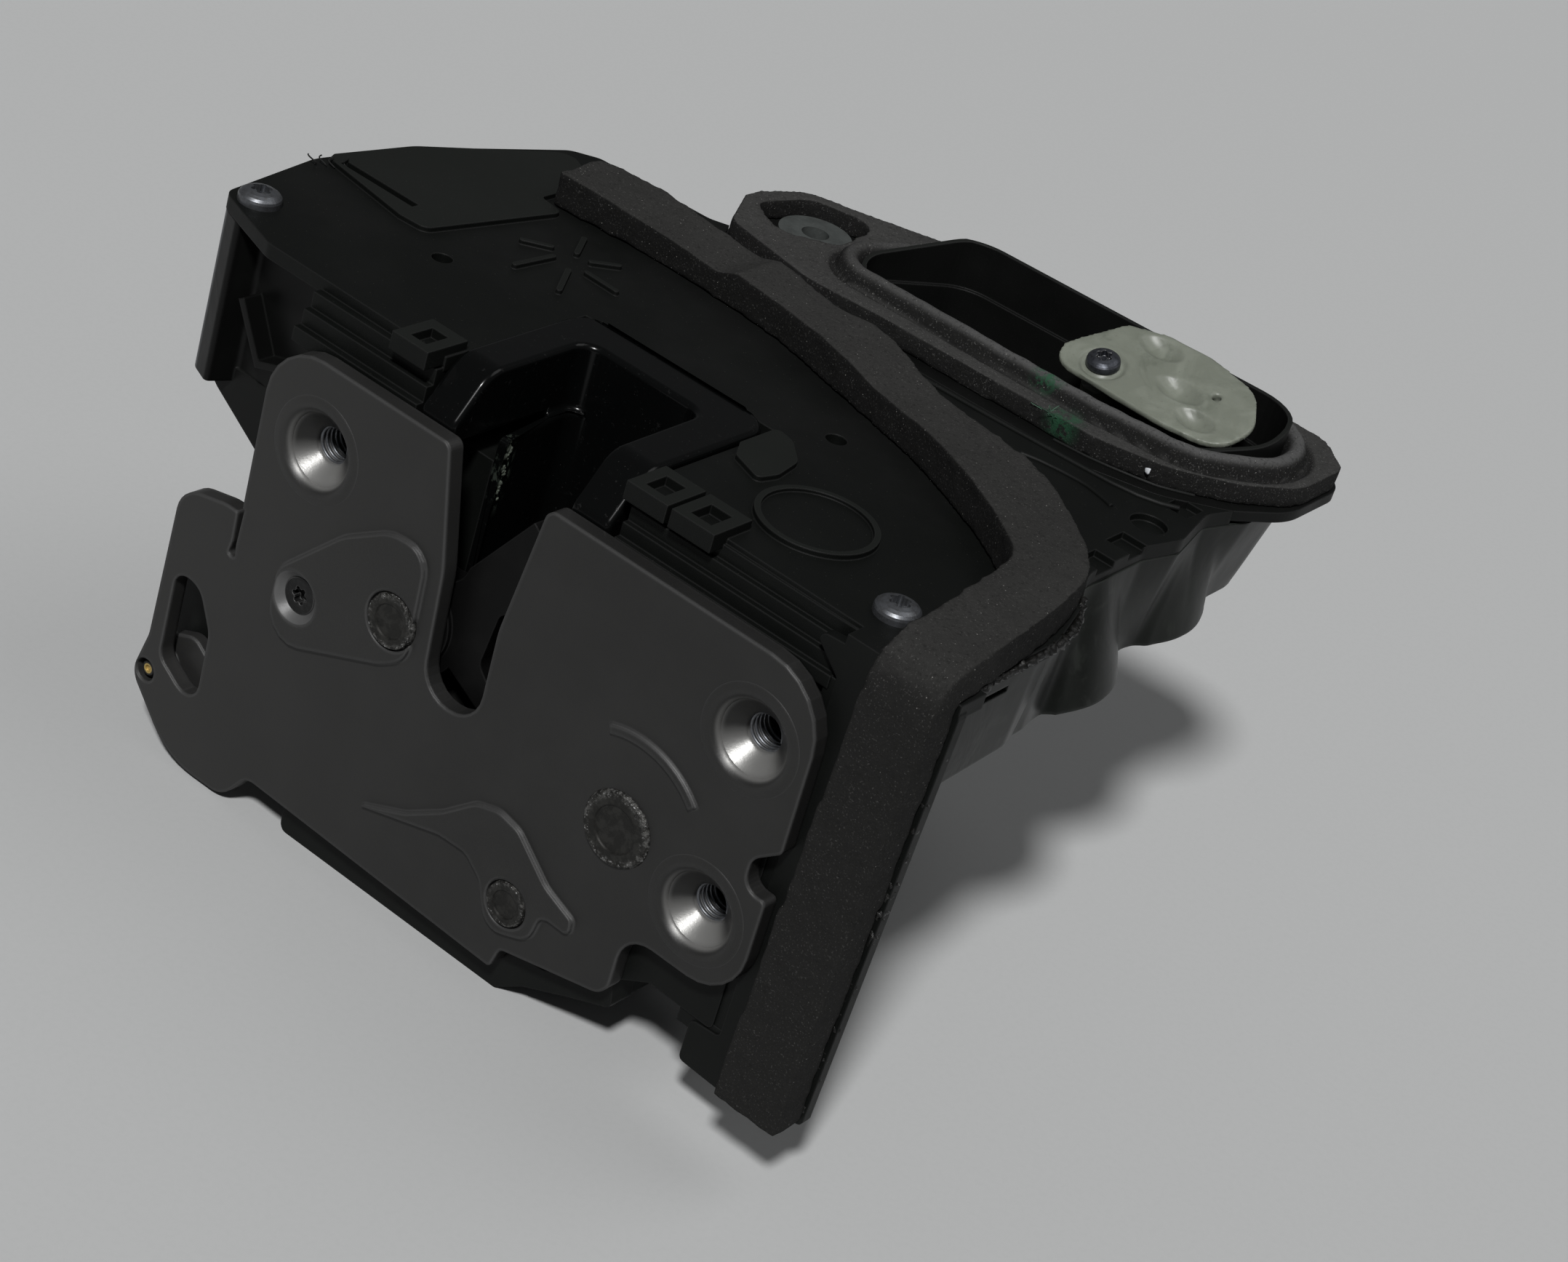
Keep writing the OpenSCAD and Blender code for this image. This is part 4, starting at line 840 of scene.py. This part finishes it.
# Fine ridges of the cover beside the gasket, as x and y, and their radii
RIDGES = [[(8, 77.4), (18, 78.0), (30, 78.4), (40.5, 79.0), (48, 79.5), (53, 79.9), (57.5, 80.8),
           (60.8, 82.2), (63.2, 84.0)],
          [(40.0, 73.2), (43, 74.2), (46.5, 74.8), (50, 75.1), (51.8, 75.0), (54.6, 74.3),
           (57.2, 73.4)],
          [(40, 82.7), (46, 83.4), (50, 84.4), (53.9, 85.6), (57.2, 86.8), (59.6, 88.4),
           (62.2, 90.4)]]
RIDGE_R = (0.5, 0.42, 0.3)
for i, (path, radius) in enumerate(zip(RIDGES, RIDGE_R)):
    tube(f"ridge_{i}", [(x, y, COVER_TOP + 0.1) for x, y in path], radius, "black_plastic")


# ---------------------------------------------------------------- wear and dirt
# Crumbly black adhesive that squeezes out under the foam strip's outer edge
GLUE_PATH = [(70.4, 45.2, 39.6), (73.0, 40.6, 39.4), (74.8, 36, 39.3), (75.5, 31, 39.2),
             (75.7, 26, 39.2), (75.8, 18, 39.2), (76.0, 10, 39.1), (76.6, 6, 38.7),
             (77.2, 4.2, 36), (77.2, 3.9, 30), (76.9, 3.8, 18), (76.5, 3.8, 6), (76.0, 3.8, -8),
             (75.5, 3.8, -22), (75.1, 3.8, -33)]


def crumbly(name, path, radius, spacing, material, sides=8):
    """A lumpy bead along a path: rings whose points stand off by noise."""
    path = np.array(path)
    reach = np.concatenate([[0], np.cumsum(np.linalg.norm(np.diff(path, axis=0), axis=1))])
    at = np.arange(0, reach[-1], spacing)
    line = [Vector([float(np.interp(s, reach, path[:, k])) for k in range(3)]) for s in at]
    bm = bmesh.new()
    rings = []
    for i, p in enumerate(line):
        ahead = (line[min(i + 1, len(line) - 1)] - line[max(i - 1, 0)]).normalized()
        side = ahead.cross(Vector((0.3, 0.9, 0.3))).normalized()
        up = side.cross(ahead)
        size = radius * (0.75 + 0.5 * noise.noise(p * 0.9))
        ring = []
        for k in range(sides):
            a = math.tau * k / sides
            out = side * math.cos(a) + up * math.sin(a)
            lump = 1 + 0.75 * noise.noise((p + out * 0.7) * 1.7)
            ring.append(bm.verts.new((p + out * size * lump) * MM))
        rings.append(ring)
    for a, b in zip(rings, rings[1:]):
        for k in range(sides):
            bm.faces.new((a[k], a[(k + 1) % sides], b[(k + 1) % sides], b[k]))
    bm.faces.new(rings[0][::-1])
    bm.faces.new(rings[-1])
    bmesh.ops.recalc_face_normals(bm, faces=bm.faces)
    mesh = built(bm, name)
    mesh.shade_smooth()
    new_piece(name, mesh, "foam", material)


glue = Mat("old_adhesive", grey(0.004, 0.1), 0.3, specular=0.4)
glue.tint(glue.step(glue.noise(1100, 4, 0.7), 0.6, 0.72), grey(0.05, 0.2), 0.6)
glue.bump(glue.noise(1500, 4, 0.7), 0.25, 0.8)
crumbly("adhesive_bead", GLUE_PATH, 0.85, 0.35, glue.m)


def flakes(name, places, size, flat, material):
    """Small closed crumbs, pressed flat against a wall along flat and roughened by noise."""
    bm = bmesh.new()
    for i, place in enumerate(places):
        made = bmesh.ops.create_icosphere(bm, subdivisions=2, radius=1.0)["verts"]
        grow = size * (0.5 + random.random())
        for v in made:
            rough = 1 + 0.6 * noise.noise(v.co * 1.6 + Vector((i * 3.7, 0, 0)))
            shape = Vector([c * (0.3 if k == flat else 1.0) for k, c in enumerate(v.co)])
            v.co = (Vector(place) + shape * grow * rough) * MM
    mesh = built(bm, name)
    mesh.shade_smooth()
    new_piece(name, mesh, "gloss_black", material)


# The crust runs down the left wall of the mouth, which widens with depth behind the plate
CRUST_TOP = 29.0
CRUST_HIGH = 9.0
MOUTH_LEFT = -9.55
MOUTH_SPREAD = 3.8 / 31.5
random.seed(7)
crust = []
for t in np.linspace(0, 1, 22):
    y = CRUST_Y + random.gauss(0, 0.4)
    z = CRUST_TOP - CRUST_HIGH * t + random.gauss(0, 0.5)
    crust.append((MOUTH_LEFT - MOUTH_SPREAD * y, y, z))
flakes("guard_scale", crust, 0.33, 0, make_plain("dried_scale", (0.13, 0.15, 0.12), 0.8))
flakes("speck", [(55.4, 85.9, 42.0)], 0.4, 1, make_plain("white_speck", (0.6, 0.62, 0.65), 0.6))

# Fibres caught on the gasket's edge
FIBRE_AT = Vector((37.4, 83.5, 43.1))
fibre_green = make_plain("fibre", (0.05, 0.12, 0.075), 0.6)
for i in range(9):
    root = FIBRE_AT + Vector((random.gauss(0, 0.8), random.gauss(0, 0.4), 0))
    way = Vector((random.gauss(0, 1), random.gauss(-0.2, 0.8), random.random() * 0.7)).normalized()
    bend = Vector((random.gauss(0, 1), random.gauss(0, 1), 0.2))
    length = 1.0 + 1.6 * random.random()
    strand = [root + way * length * t + bend * 0.5 * t * t for t in np.linspace(0, 1, 8)]
    tube(f"fibre_{i}", strand, 0.055, "foam", fibre_green, sides=1)

# Curls of flash on the case's left edge
CURLS = [(-76.2, 35.0), (-75.3, 36.4), (-74.4, 37.4), (-73.4, 39.6)]
for i, (x, y) in enumerate(CURLS):
    curl = [(x - 0.9 * t + 0.5 * math.sin(t * 5 + i), y + 0.5 * math.cos(t * 4 + i) * t,
             COVER_TOP + 0.2 + 1.3 * t) for t in np.linspace(0, 1, 12)]
    tube(f"flash_{i}", curl, 0.13, "black_plastic", sides=1)


# ---------------------------------------------------------------- scene
def stage_floor():
    bm = bmesh.new()
    bmesh.ops.create_grid(bm, x_segments=2, y_segments=2, size=3.0)
    floor = added("floor", built(bm, "floor"))
    floor.location = (0, 0, FOOT * MM)
    m = Mat("floor_paper", (0.44, 0.445, 0.445), 0.8, specular=0.2)
    m.tint(m.step(m.noise(900, 4), 0.4, 0.7), (0.425, 0.43, 0.43), 0.5)
    coat(floor.data, m.m)


def sun(name, towards, strength, spread):
    light = bpy.data.lights.new(name, "SUN")
    light.energy = strength
    light.angle = math.radians(spread)
    added(name, light).rotation_euler = (-Vector(towards)).to_track_quat("-Z", "Y").to_euler()


stage_floor()
world = bpy.data.worlds.new("soft_light")
world.use_nodes = True
world.node_tree.nodes["Background"].inputs["Color"].default_value = (0.97, 0.985, 1.0, 1)
world.node_tree.nodes["Background"].inputs["Strength"].default_value = 0.09
bpy.context.scene.world = world
sun("front", (0.24, -0.58, 0.78), 3.15, 7)
sun("back_right", (0.4, 0.35, 0.85), 0.42, 35)

# Camera at the photograph's place, fitted to the plate, the case and the socket
CAMERA_AT = Vector((242.34, -345.09, 260.36)) * MM
RIGHT = Vector((0.76141, 0.59298, 0.26196))
UP = Vector((-0.49142, 0.26441, 0.82982))
AHEAD = Vector((-0.42280, 0.76056, -0.49273))
FOCAL_PX = 4594.0
IMAGE_W = 2156.0
SENSOR = 36.0
camera_data = bpy.data.cameras.new("photo_camera")
camera_data.sensor_fit = "HORIZONTAL"
camera_data.sensor_width = SENSOR
camera_data.lens = SENSOR * FOCAL_PX / IMAGE_W
camera = added("photo_camera", camera_data)
camera.matrix_world = Matrix((
    (RIGHT.x, UP.x, -AHEAD.x, CAMERA_AT.x),
    (RIGHT.y, UP.y, -AHEAD.y, CAMERA_AT.y),
    (RIGHT.z, UP.z, -AHEAD.z, CAMERA_AT.z),
    (0, 0, 0, 1)))
bpy.context.scene.camera = camera
bpy.context.scene.view_settings.view_transform = "Standard"
